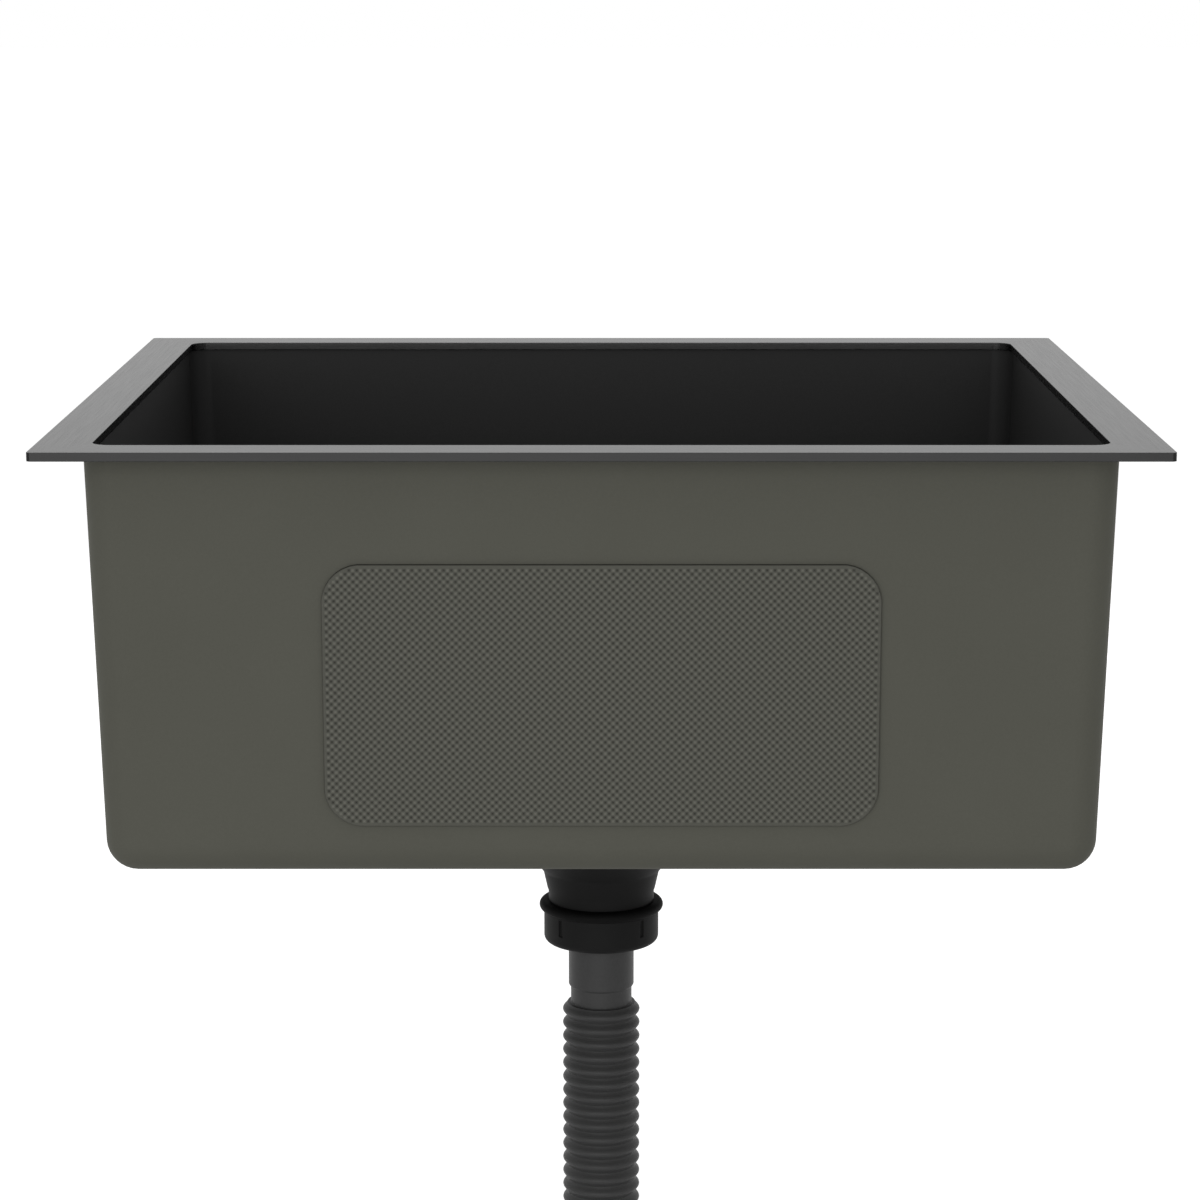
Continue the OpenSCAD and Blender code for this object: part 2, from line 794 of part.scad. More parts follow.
module hose_end_fitting() {
    sleeve_r = socket_r + socket_wall;
    color("#1e1e1e")
        rotate_extrude()
            polygon([
                [socket_r, socket_z + socket_l], [sleeve_r, socket_z + socket_l],
                [sleeve_r, socket_z + step_edge], [step_r - step_edge, socket_z],
                [step_r, socket_z - step_edge], [step_r, waste_z + step_edge],
                [step_r - step_edge, waste_z], [waste_r, waste_z], [waste_r, waste_z - waste_l],
                [hose_bore_r, waste_z - waste_l], [hose_bore_r, socket_z], [socket_r, socket_z]
            ]);
}

rim_plate();
bowl();
bowl_coating();
pad_front();
pad_rear();
pad_left();
pad_right();
pad_base_left();
pad_base_right();
flange_gasket();
strainer_dish();
body_gasket();
outlet_body();
fixing_screw();
screw_insert();
basket();
stem_bush();
stem_o_ring();
plug_stem();
plug_seal();
plug_knob();
joint_ring();
union_nut();
hose_washer();
drain_hose();
hose_end_fitting();
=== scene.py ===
import math

import bmesh
import bpy
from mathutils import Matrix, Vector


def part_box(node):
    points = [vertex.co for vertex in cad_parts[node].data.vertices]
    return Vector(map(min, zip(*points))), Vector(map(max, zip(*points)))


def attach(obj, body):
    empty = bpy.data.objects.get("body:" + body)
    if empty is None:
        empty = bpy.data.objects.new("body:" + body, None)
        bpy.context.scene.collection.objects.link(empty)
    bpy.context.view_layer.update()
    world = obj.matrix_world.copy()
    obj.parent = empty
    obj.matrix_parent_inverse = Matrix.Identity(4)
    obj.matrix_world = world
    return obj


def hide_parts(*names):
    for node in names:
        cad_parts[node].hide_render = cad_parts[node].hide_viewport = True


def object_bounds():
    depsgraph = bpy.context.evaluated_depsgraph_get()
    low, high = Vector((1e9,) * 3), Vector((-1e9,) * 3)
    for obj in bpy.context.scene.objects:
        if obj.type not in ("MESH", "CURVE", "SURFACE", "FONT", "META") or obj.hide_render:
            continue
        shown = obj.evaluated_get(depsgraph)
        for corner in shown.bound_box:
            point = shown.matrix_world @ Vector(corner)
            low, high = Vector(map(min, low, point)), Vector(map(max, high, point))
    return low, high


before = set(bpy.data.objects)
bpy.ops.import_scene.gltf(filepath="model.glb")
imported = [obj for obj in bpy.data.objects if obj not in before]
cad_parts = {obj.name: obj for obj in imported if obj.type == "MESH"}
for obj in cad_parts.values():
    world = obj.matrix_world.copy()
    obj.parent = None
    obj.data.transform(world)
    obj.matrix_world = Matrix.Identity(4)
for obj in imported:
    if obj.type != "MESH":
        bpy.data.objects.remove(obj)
cad_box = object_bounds()
bpy.ops.object.select_all(action="DESELECT")

# Studio: the sink hangs over a pale floor in a white room, with a broad soft lamp beside the camera,
# one overhead and two low ones behind. The camera stands in front with a long lens, a little above the
# rim, and looks slightly down, so that the hose runs out of the picture.
mm = 0.001
focal_pixels = 3459.97
photo_pixels = 1200
camera_aside = -0.64 * mm
camera_distance = 1706.25 * mm
camera_height = 222.84 * mm
look_down = 10.814

camera_data = bpy.data.cameras.new("photo_camera")
camera_data.sensor_width = 36
camera_data.lens = focal_pixels / photo_pixels * camera_data.sensor_width
camera = bpy.data.objects.new("photo_camera", camera_data)
camera.location = (camera_aside, -camera_distance, camera_height)
camera.rotation_euler = (math.radians(90 - look_down), 0, 0)
bpy.context.scene.collection.objects.link(camera)
bpy.context.scene.camera = camera
bpy.context.scene.view_settings.view_transform = "Standard"


def srgb(code):
    """The linear colour of a hex sRGB value"""
    parts = [int(code[i:i + 2], 16) / 255 for i in (1, 3, 5)]
    linear = [p / 12.92 if p <= 0.04045 else ((p + 0.055) / 1.055) ** 2.4 for p in parts]
    return (*linear, 1)


def add(tree, kind, settings=None, links=None):
    """A new node in the tree, with its settings and what feeds its inputs"""
    made = tree.nodes.new(kind)
    for name, value in (settings or {}).items():
        if isinstance(name, int) or name in made.inputs:
            made.inputs[name].default_value = value
        else:
            setattr(made, name, value)
    for name, source in (links or {}).items():
        tree.links.new(source, made.inputs[name])
    return made


def new_finish(name):
    """An empty node material and its tree"""
    material = bpy.data.materials.new(name)
    material.use_nodes = True
    material.node_tree.nodes.clear()
    return material, material.node_tree


def grained(tree, size, detail):
    """Noise in the piece's own frame, with grains of about the given size"""
    spot = add(tree, "ShaderNodeTexCoord")
    return add(tree, "ShaderNodeTexNoise", {"Scale": 1 / size, "Detail": detail},
               {"Vector": spot.outputs["Object"]})


def seen_directly(tree):
    """1 where the eye, a reflection or a view through glass meets the surround, and 0 for its light"""
    path = add(tree, "ShaderNodeLightPath")
    sight = add(tree, "ShaderNodeMath", {"operation": "MAXIMUM"},
                {0: path.outputs["Is Camera Ray"], 1: path.outputs["Is Glossy Ray"]})
    either = add(tree, "ShaderNodeMath", {"operation": "MAXIMUM"},
                 {0: sight.outputs[0], 1: path.outputs["Is Transmission Ray"]})
    return either.outputs[0]


room_level = 0.45
room = bpy.data.worlds.new("white_room")
room.use_nodes = True
room.node_tree.nodes.clear()
bpy.context.scene.world = room
level = add(room.node_tree, "ShaderNodeMath",
            {"operation": "MULTIPLY_ADD", 1: 1 - room_level, 2: room_level},
            {0: seen_directly(room.node_tree)})
sky = add(room.node_tree, "ShaderNodeBackground", {"Color": srgb("#ffffff")}, {"Strength": level.outputs[0]})
add(room.node_tree, "ShaderNodeOutputWorld", None, {"Surface": sky.outputs[0]})

# The floor looks white far off and throws less light back than it shows. Its own glow is weaker near
# the sink, where the lamps reach it, so that the sink's shadow shows.
floor_size = 60
floor_drop = 25 * mm
near = 0.3
near_glow = 0.31
far = 1.5
far_glow = 0.57
bpy.ops.mesh.primitive_plane_add(size=floor_size, location=(0, 0, cad_box[0].z - floor_drop))
floor = bpy.context.object
floor.name = "pale_floor"
pale_paint, tree = new_finish("pale_floor_paint")
sight = seen_directly(tree)
paint = add(tree, "ShaderNodeMix", {"data_type": "RGBA", 6: srgb("#d0d0d0"), 7: srgb("#ffffff")},
            {0: sight})
matt = add(tree, "ShaderNodeBsdfDiffuse", None, {"Color": paint.outputs[2]})
spot = add(tree, "ShaderNodeTexCoord")
reach = add(tree, "ShaderNodeVectorMath", {"operation": "LENGTH"}, {0: spot.outputs["Object"]})
white = add(tree, "ShaderNodeMapRange",
            {"From Min": near, "From Max": far, "To Min": near_glow, "To Max": far_glow},
            {"Value": reach.outputs["Value"]})
glow = add(tree, "ShaderNodeMath", {"operation": "MULTIPLY"}, {0: sight, 1: white.outputs[0]})
lift = add(tree, "ShaderNodeEmission", {"Color": srgb("#ffffff")}, {"Strength": glow.outputs[0]})
both = add(tree, "ShaderNodeAddShader", None, {0: matt.outputs[0], 1: lift.outputs[0]})
add(tree, "ShaderNodeOutputMaterial", None, {"Surface": both.outputs[0]})
floor.data.materials.append(pale_paint)

# Each lamp has its place in metres, its turn in degrees, its width and height, and its watts. The fill
# lamps light only the back and sides, and show in no reflection.
lamps = {
    "camera_lamp": ((-0.5, -3.2, 0), (88, 0, -9), (3.0, 3.0), 60),
    "overhead_lamp": ((0, -0.3, 2.6), (0, 0, 0), (2.6, 2.6), 8),
    "left_fill_lamp": ((-2.4, 2.4, -0.36), (90, 0, 225), (3.0, 0.7), 28),
    "right_fill_lamp": ((2.4, 2.4, -0.36), (90, 0, 135), (3.0, 0.7), 28),
}
for name, (place, turn, (width, height), watts) in lamps.items():
    lamp_data = bpy.data.lights.new(name, "AREA")
    lamp_data.shape = "RECTANGLE"
    lamp_data.size = width
    lamp_data.size_y = height
    lamp_data.energy = watts
    lamp = bpy.data.objects.new(name, lamp_data)
    lamp.location = place
    lamp.rotation_euler = [math.radians(angle) for angle in turn]
    lamp.visible_camera = "fill" not in name
    lamp.visible_glossy = "fill" not in name
    bpy.context.scene.collection.objects.link(lamp)

# Drain hose: a blow-moulded dark grey polyethylene hose, ribbed so that it bends. Its collar hangs
# in the union nut, a plain cuff and a neck lead to the ribs, and the same cuff ends it below.
hose_low, hose_high = (corner.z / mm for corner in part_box("drain_hose"))
nut_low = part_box("union_nut")[0].z / mm
collar_r = 22.5
collar_t = 2.2
cuff_r = 16.65
cuff_l = 27.2
neck_r = 15.55
neck_l = 8.9
crest_r = 19.7
valley_r = 17.3
rib_pitch = 7.25
rib_count = 45
rib_steps = 10
rib_fullness = 0.8
cuff_round = 1.1
neck_round = 0.5
hose_wall = 1.2
bore_r = neck_r - hose_wall
hose_around = 72


def turned(name, outline, around=96):
    """A piece turned about the drain's axis, from its outline in mm as (radius, level)"""
    bpy.ops.mesh.primitive_plane_add(size=mm)
    piece = bpy.context.object
    piece.name = name
    piece.data.name = name
    bpy.ops.object.mode_set(mode="EDIT")
    bpy.ops.mesh.select_mode(type="VERT")
    bpy.ops.mesh.merge(type="CENTER")
    radius, level = outline[0]
    bpy.ops.transform.translate(value=(radius * mm, 0, level * mm))
    back_to_start = outline[:1] if radius else []
    for next_radius, next_level in outline[1:] + back_to_start:
        step = ((next_radius - radius) * mm, 0, (next_level - level) * mm)
        bpy.ops.mesh.extrude_vertices_move(TRANSFORM_OT_translate={"value": step})
        radius, level = next_radius, next_level
    bpy.ops.mesh.select_all(action="SELECT")
    bpy.ops.mesh.spin(steps=around, angle=math.tau, center=(0, 0, 0), axis=(0, 0, 1))
    bpy.ops.mesh.select_all(action="SELECT")
    bpy.ops.mesh.remove_doubles(threshold=0.002 * mm)
    bpy.ops.mesh.normals_make_consistent(inside=False)
    bpy.ops.object.mode_set(mode="OBJECT")
    return piece


def smoothed(piece, edge=0.0, steps=2, sharp=40):
    """Rounds the piece's sharp edges by edge mm and shades it smooth, with its flats kept flat"""
    bpy.context.view_layer.objects.active = piece
    if edge:
        rounding = piece.modifiers.new("edges", "BEVEL")
        rounding.width = edge * mm
        rounding.segments = steps
        rounding.limit_method = "ANGLE"
        rounding.angle_limit = math.radians(sharp)
        bpy.ops.object.modifier_apply(modifier="edges")
    bpy.ops.object.shade_smooth_by_angle(angle=math.radians(sharp))
    flats = piece.modifiers.new("flats", "WEIGHTED_NORMAL")
    flats.keep_sharp = True
    bpy.ops.object.modifier_apply(modifier="flats")


def fit(piece, material, slot, body, *nodes):
    """Gives the piece its finish and its body, in place of the plain nodes"""
    piece.data.materials.clear()
    piece.data.materials.append(material)
    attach(piece, body)
    if nodes:
        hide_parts(*nodes)
    bpy.ops.object.select_all(action="DESELECT")


cuff_high = hose_high - collar_t
cuff_low = cuff_high - cuff_l
ribs_high = cuff_low - neck_l
ribs_low = ribs_high - rib_count * rib_pitch
tail_high = ribs_low - neck_l
ribs = [
    (valley_r + (crest_r - valley_r) * (0.5 - 0.5 * math.cos(math.tau * step / rib_steps)) ** rib_fullness,
     ribs_high - (rib + step / rib_steps) * rib_pitch)
    for rib in range(rib_count) for step in range(rib_steps)
]
outline = [
    (bore_r, hose_high), (collar_r, hose_high), (collar_r, cuff_high), (cuff_r, cuff_high),
    (cuff_r, cuff_low + cuff_round), (cuff_r - 0.3, cuff_low + neck_round),
    (neck_r + 0.2, cuff_low), (neck_r, cuff_low - neck_round),
    (neck_r, ribs_high + neck_round), (neck_r + 0.4, ribs_high + 0.1), *ribs, (valley_r, ribs_low),
    (neck_r + 0.4, ribs_low - 0.1), (neck_r, ribs_low - neck_round),
    (neck_r, tail_high), (cuff_r, tail_high - cuff_round), (cuff_r, hose_low), (bore_r, hose_low),
]
hose = turned("ribbed_drain_hose", outline, hose_around)
smoothed(hose)

# Blow-moulded polyethylene is dark grey and slightly waxy, with a soft sheen along each rib.
moulded_pe, tree = new_finish("blow_moulded_dark_grey_polyethylene")
grain = grained(tree, 1.5 * mm, 3)
tone = add(tree, "ShaderNodeMix", {"data_type": "RGBA", 6: srgb("#343434"), 7: srgb("#3c3c3c")},
           {0: grain.outputs[0]})
dents = add(tree, "ShaderNodeBump", {"Strength": 0.12, "Distance": 0.05 * mm}, {"Height": grain.outputs[0]})
skin = add(tree, "ShaderNodeBsdfPrincipled", {"Roughness": 0.5, "Specular IOR Level": 0.22},
           {"Base Color": tone.outputs[2], "Normal": dents.outputs[0]})
add(tree, "ShaderNodeOutputMaterial", None, {"Surface": skin.outputs[0]})
fit(hose, moulded_pe, "hose_plastic", "sink", "drain_hose")

# Hose end: a moulded black polypropylene sleeve pushed over the hose's lower cuff. It steps down to
# the plain spigot that goes into a waste pipe's sealed socket.
end_low, end_high = (corner.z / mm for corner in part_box("hose_end_fitting"))
push_gap = 0.1
socket_r = cuff_r + push_gap
socket_l = 20
sleeve_wall = 3
sleeve_r = socket_r + sleeve_wall
step_r = 25
step_edge = 1.5
waste_l = 30
waste_r = 20
step_z = end_high - socket_l
waste_z = end_low + waste_l
outline = [
    (socket_r, end_high), (sleeve_r, end_high), (sleeve_r, step_z + step_edge), (step_r - step_edge, step_z),
    (step_r, step_z - step_edge), (step_r, waste_z + step_edge), (step_r - step_edge, waste_z),
    (waste_r, waste_z), (waste_r, end_low), (bore_r, end_low), (bore_r, step_z), (socket_r, step_z),
]
hose_end = turned("hose_end_sleeve", outline)
smoothed(hose_end, 0.5)

# Moulded polypropylene is near black, with a fine moulding grain that keeps it almost free of shine.
moulded_pp, tree = new_finish("moulded_black_polypropylene")
grain = grained(tree, 0.7 * mm, 2)
rough = add(tree, "ShaderNodeMapRange", {"To Min": 0.5, "To Max": 0.62}, {"Value": grain.outputs[0]})
dents = add(tree, "ShaderNodeBump", {"Strength": 0.1, "Distance": 0.03 * mm}, {"Height": grain.outputs[0]})
skin = add(tree, "ShaderNodeBsdfPrincipled", {"Base Color": srgb("#1a1a1a"), "Specular IOR Level": 0.07},
           {"Roughness": rough.outputs[0], "Normal": dents.outputs[0]})
add(tree, "ShaderNodeOutputMaterial", None, {"Surface": skin.outputs[0]})
fit(hose_end, moulded_pp, "outlet_plastic", "sink", "hose_end_fitting")

# Rim: a thick flat plate of stainless steel, cut with one opening, brushed along each side and coated
# almost black. Seen along its surface it mirrors the white room, and so looks mid-grey.
rim_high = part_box("rim_plate")[1]
rim_corner = 2 * mm
side_band = 24.7 * mm
front_band = 23.2 * mm
opening_corner = 9 * mm
opening_w = 2 * (rim_high.x - side_band)
opening_d = 2 * (rim_high.y - front_band)


def corner_loop(width, depth, radius, level, steps=10):
    """Adds a bare loop of edges to the mesh being edited: a rectangle with round corners"""
    bpy.ops.mesh.select_all(action="DESELECT")
    bpy.ops.mesh.primitive_plane_add(size=1, location=(0, 0, level))
    bpy.ops.transform.resize(value=(width, depth, 1), center_override=(0, 0, level))
    bpy.ops.mesh.bevel(offset=radius, segments=steps, affect="VERTICES")
    bpy.ops.mesh.delete(type="ONLY_FACE")


def started(name):
    """A new piece with nothing in it yet, being edited"""
    bpy.ops.mesh.primitive_plane_add(size=1)
    piece = bpy.context.object
    piece.name = name
    piece.data.name = name
    bpy.ops.object.mode_set(mode="EDIT")
    bpy.ops.mesh.delete(type="VERT")
    return piece


rim = started("brushed_rim_plate")
corner_loop(2 * rim_high.x, 2 * rim_high.y, rim_corner, 0)
corner_loop(opening_w, opening_d, opening_corner, 0)
bpy.ops.mesh.select_all(action="SELECT")
bpy.ops.mesh.bridge_edge_loops()
bpy.ops.mesh.select_all(action="SELECT")
bpy.ops.mesh.extrude_region_move(TRANSFORM_OT_translate={"value": (0, 0, rim_high.z)})
bpy.ops.mesh.select_all(action="SELECT")
bpy.ops.mesh.normals_make_consistent(inside=False)
bpy.ops.object.mode_set(mode="OBJECT")
smoothed(rim, 0.25, 3)

# Brushed and darkly coated stainless steel mirrors softly along the brush lines, which run along each
# side. Its cut edges have no lines. Their colour is painted light and shade: the outer edge is painted
# darker as painted shade, and the opening's edge is painted lighter as a painted highlight.
# The lines are really about 0.1 mm apart, and are drawn 0.6 mm apart so that they show.
brushed_steel, tree = new_finish("brushed_stainless_with_dark_coating")
spot = add(tree, "ShaderNodeTexCoord")
line_gap = 0.6 * mm
line_length = 40 * mm
parts = add(tree, "ShaderNodeSeparateXYZ", None, {0: spot.outputs["Object"]})
aside = add(tree, "ShaderNodeMath", {"operation": "ABSOLUTE"}, {0: parts.outputs[0]})
ahead = add(tree, "ShaderNodeMath", {"operation": "ABSOLUTE"}, {0: parts.outputs[1]})
reach = add(tree, "ShaderNodeMath", {"operation": "SUBTRACT", 1: rim_high.x - rim_high.y},
            {0: aside.outputs[0]})
on_side = add(tree, "ShaderNodeMath", {"operation": "GREATER_THAN"},
              {0: reach.outputs[0], 1: ahead.outputs[0]})
along_x = add(tree, "ShaderNodeMapping", {"Scale": (1 / line_length, 1 / line_gap, 1 / line_gap)},
              {"Vector": spot.outputs["Object"]})
along_y = add(tree, "ShaderNodeMapping", {"Scale": (1 / line_gap, 1 / line_length, 1 / line_gap)},
              {"Vector": spot.outputs["Object"]})
along = add(tree, "ShaderNodeMix", {"data_type": "VECTOR"},
            {0: on_side.outputs[0], 4: along_x.outputs[0], 5: along_y.outputs[0]})
lines = add(tree, "ShaderNodeTexNoise", {"Scale": 1.0, "Detail": 4}, {"Vector": along.outputs[1]})
tone = add(tree, "ShaderNodeMix", {"data_type": "RGBA", 6: srgb("#3c3c3c"), 7: srgb("#474747")},
           {0: lines.outputs[0]})
facing = add(tree, "ShaderNodeSeparateXYZ", None, {0: spot.outputs["Normal"]})
upward = add(tree, "ShaderNodeMath", {"operation": "ABSOLUTE"}, {0: facing.outputs[2]})
upright = add(tree, "ShaderNodeMath", {"operation": "LESS_THAN", 1: 0.5}, {0: upward.outputs[0]})
at_side = add(tree, "ShaderNodeMath", {"operation": "GREATER_THAN", 1: rim_high.x - mm},
              {0: aside.outputs[0]})
at_front = add(tree, "ShaderNodeMath", {"operation": "GREATER_THAN", 1: rim_high.y - mm},
               {0: ahead.outputs[0]})
outside = add(tree, "ShaderNodeMath", {"operation": "MAXIMUM"},
              {0: at_side.outputs[0], 1: at_front.outputs[0]})
# Painted shade and highlight: the outer cut edge is painted dark and the opening's cut edge light.
cut = add(tree, "ShaderNodeMix", {"data_type": "RGBA", 6: srgb("#4e4e4e"), 7: srgb("#2a2a2a")},
          {0: outside.outputs[0]})
colour = add(tree, "ShaderNodeMix", {"data_type": "RGBA"},
             {0: upright.outputs[0], 6: tone.outputs[2], 7: cut.outputs[2]})
rough = add(tree, "ShaderNodeMapRange", {"To Min": 0.2, "To Max": 0.3}, {"Value": lines.outputs[0]})
scratches = add(tree, "ShaderNodeBump", {"Strength": 0.1, "Distance": 0.02 * mm},
                {"Height": lines.outputs[0]})
steel = add(tree, "ShaderNodeBsdfPrincipled", {"Metallic": 1.0, "Specular Tint": srgb("#e2e2e2")},
            {"Base Color": colour.outputs[2], "Roughness": rough.outputs[0], "Normal": scratches.outputs[0]})
add(tree, "ShaderNodeOutputMaterial", None, {"Surface": steel.outputs[0]})
fit(rim, brushed_steel, "rim_steel", "sink", "rim_plate")

# Bowl: one sheet of stainless steel, deep drawn, with sloping walls, round bends, a floor that falls
# to the drain and a pressed seat around it. It is welded under the rim and coated almost black inside.
sheet_t = 1.2 * mm
coat_t = 1.5 * mm
wall_step = 1.7 * mm
draft = math.radians(1.6)
bend_r = 11.5 * mm
bend_steps = 8
drain_around = 96
floor_fall = 3 * mm
fall_r = 65.3 * mm
press_depth = 2.5 * mm
press_r = 60 * mm
press_slope = 1.5 * mm
hole_r = 45 * mm
coat_hole_r = 61.3 * mm
sump_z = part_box("flange_gasket")[0].z + press_depth
floor_z = sump_z + floor_fall
top_half_x = opening_w / 2 + wall_step
top_half_y = opening_d / 2 + wall_step


def pick(part, test):
    """In the piece being edited, selects the corners, edges or faces whose middle passes the test"""
    mesh = bmesh.from_edit_mesh(bpy.context.object.data)
    bpy.ops.mesh.select_mode(type=part)
    bpy.ops.mesh.select_all(action="DESELECT")
    if part == "VERT":
        for corner in mesh.verts:
            corner.select_set(test(corner.co))
    elif part == "EDGE":
        for edge in mesh.edges:
            edge.select_set(test((edge.verts[0].co + edge.verts[1].co) / 2))
    else:
        for face in mesh.faces:
            face.select_set(test(face.calc_center_median()))
    mesh.select_flush_mode()
    bmesh.update_edit_mesh(bpy.context.object.data)


def drawn_tub(name, grow, thickness, rings):
    """A sheet bowl: its inner surface pushed out by grow, then rings of (radius, level) in the floor"""
    low_z = floor_z - grow
    height = -low_z
    middle_z = low_z / 2
    narrowing = 2 * height * math.tan(draft)
    wide = 2 * (top_half_x + grow)
    deep = 2 * (top_half_y + grow)
    tiny = 0.01 * mm
    bpy.ops.mesh.primitive_cube_add(size=1, location=(0, 0, middle_z))
    piece = bpy.context.object
    piece.name = name
    piece.data.name = name
    bpy.ops.object.transform_apply(location=True, rotation=False, scale=False)
    bpy.ops.object.mode_set(mode="EDIT")
    bpy.ops.mesh.select_all(action="SELECT")
    bpy.ops.transform.resize(value=(wide, deep, height), center_override=(0, 0, middle_z))
    pick("FACE", lambda place: place.z < low_z + tiny)
    bpy.ops.transform.resize(value=((wide - narrowing) / wide, (deep - narrowing) / deep, 1),
                             center_override=(0, 0, low_z))
    pick("EDGE", lambda place: place.z < -tiny)
    bpy.ops.mesh.bevel(offset=bend_r + grow, segments=bend_steps, affect="EDGES")
    pick("FACE", lambda place: place.z > -tiny or place.z < low_z + tiny)
    bpy.ops.mesh.delete(type="ONLY_FACE")
    bpy.ops.mesh.select_all(action="DESELECT")
    bpy.ops.mesh.primitive_circle_add(vertices=drain_around, radius=rings[0][0],
                                      location=(0, 0, rings[0][1]))
    pick("EDGE", lambda place: place.z < low_z + tiny)
    bpy.ops.mesh.bridge_edge_loops()
    for (radius, level), (next_radius, next_level) in zip(rings, rings[1:]):
        pick("VERT", lambda place: abs(place.z - level) < tiny and abs(place.xy.length - radius) < tiny)
        bpy.ops.mesh.extrude_edges_move(TRANSFORM_OT_translate={"value": (0, 0, next_level - level)})
        bpy.ops.transform.resize(value=(next_radius / radius, next_radius / radius, 1),
                                 center_override=(0, 0, next_level))
    bpy.ops.mesh.select_all(action="SELECT")
    bpy.ops.mesh.remove_doubles(threshold=tiny / 5)
    bpy.ops.mesh.normals_make_consistent(inside=True)
    bpy.ops.object.mode_set(mode="OBJECT")
    wall = piece.modifiers.new("wall", "SOLIDIFY")
    wall.thickness = thickness
    wall.offset = -1
    wall.use_even_offset = True
    bpy.ops.object.modifier_apply(modifier="wall")
    smoothed(piece)
    return piece


seat_z = sump_z - press_depth
bowl = drawn_tub("drawn_bowl", 0, sheet_t, [
    (fall_r, sump_z), (press_r + press_slope, sump_z), (press_r - press_slope, seat_z), (hole_r, seat_z),
])

# Drawn and darkly coated stainless steel is near black, with a soft, grainy sheen and no brush lines.
drawn_steel, tree = new_finish("satin_stainless_with_dark_coating")
grain = grained(tree, 0.8 * mm, 3)
tone = add(tree, "ShaderNodeMix", {"data_type": "RGBA", 6: srgb("#2a2a2a"), 7: srgb("#323232")},
           {0: grain.outputs[0]})
rough = add(tree, "ShaderNodeMapRange", {"To Min": 0.42, "To Max": 0.5}, {"Value": grain.outputs[0]})
dents = add(tree, "ShaderNodeBump", {"Strength": 0.08, "Distance": 0.02 * mm}, {"Height": grain.outputs[0]})
steel = add(tree, "ShaderNodeBsdfPrincipled", {"Metallic": 0.3, "Specular IOR Level": 0.1},
            {"Base Color": tone.outputs[2], "Roughness": rough.outputs[0], "Normal": dents.outputs[0]})
add(tree, "ShaderNodeOutputMaterial", None, {"Surface": steel.outputs[0]})
fit(bowl, drawn_steel, "bowl_steel", "sink", "bowl")

# Coating: the sound-damping paint sprayed thickly over the outside of the bowl. It dries to a dull
# grey-green skin with a fine grain, and leaves the ring around the drain bare.
coating = drawn_tub("sprayed_coating", sheet_t, coat_t, [
    (fall_r, sump_z - sheet_t), (coat_hole_r, sump_z - sheet_t),
])

# Water-based sound-damping paint is dull grey-green, with a grit of about 1 mm from the spray gun.
sprayed_paint, tree = new_finish("sprayed_sound_damping_paint")
spot = add(tree, "ShaderNodeTexCoord")
grit = add(tree, "ShaderNodeTexNoise", {"Scale": 1 / (1.1 * mm), "Detail": 4, "Roughness": 0.6},
           {"Vector": spot.outputs["Object"]})
clouds = add(tree, "ShaderNodeTexNoise", {"Scale": 1 / (60 * mm), "Detail": 2},
             {"Vector": spot.outputs["Object"]})
mottle = add(tree, "ShaderNodeMath", {"operation": "MULTIPLY_ADD", 1: 0.6}, {0: grit.outputs[0]})
share = add(tree, "ShaderNodeMath", {"operation": "MULTIPLY", 1: 0.4}, {0: clouds.outputs[0]})
tree.links.new(share.outputs[0], mottle.inputs[2])
tone = add(tree, "ShaderNodeMix", {"data_type": "RGBA", 6: srgb("#4f4f47"), 7: srgb("#595951")},
           {0: mottle.outputs[0]})
bumps = add(tree, "ShaderNodeBump", {"Strength": 0.25, "Distance": 0.05 * mm}, {"Height": grit.outputs[0]})
paint = add(tree, "ShaderNodeBsdfPrincipled", {"Roughness": 0.72, "Specular IOR Level": 0.2},
            {"Base Color": tone.outputs[2], "Normal": bumps.outputs[0]})
add(tree, "ShaderNodeOutputMaterial", None, {"Surface": paint.outputs[0]})
fit(coating, sprayed_paint, "coating", "sink", "bowl_coating")

# Sound pads: six thin rubber mats glued on the walls and under the floor and painted with them. A
# lattice of small bumps is moulded into each face, with a plain soft edge round it.
pad_w = 248.5 * mm
pad_h = 120 * mm
pad_t = 2 * mm
pad_corner = 18 * mm
pad_drop = 48.8 * mm
base_pad_w = 85 * mm
base_pad_d = 170 * mm
base_pad_edge = 16 * mm
glue_gap = 0.05 * mm
bump_gap = 3.49 * mm
bump_h = 0.3 * mm
plain_edge = 1.0 * mm
soft_edge = 0.5 * mm
edge_steps = ((0.55, 0.1), (0.35, 0.3), (0.1, 0.5))
corner_cuts = 8
skin_t = sheet_t + coat_t


def inside_by(x, y, width, height):
    """How far a point is inside a pad's outline, or less than 0 outside it"""
    from_x = abs(x) - (width / 2 - pad_corner)
    from_y = abs(y) - (height / 2 - pad_corner)
    if from_x > 0 and from_y > 0:
        return pad_corner - math.hypot(from_x, from_y)
    return pad_corner - max(from_x, from_y)


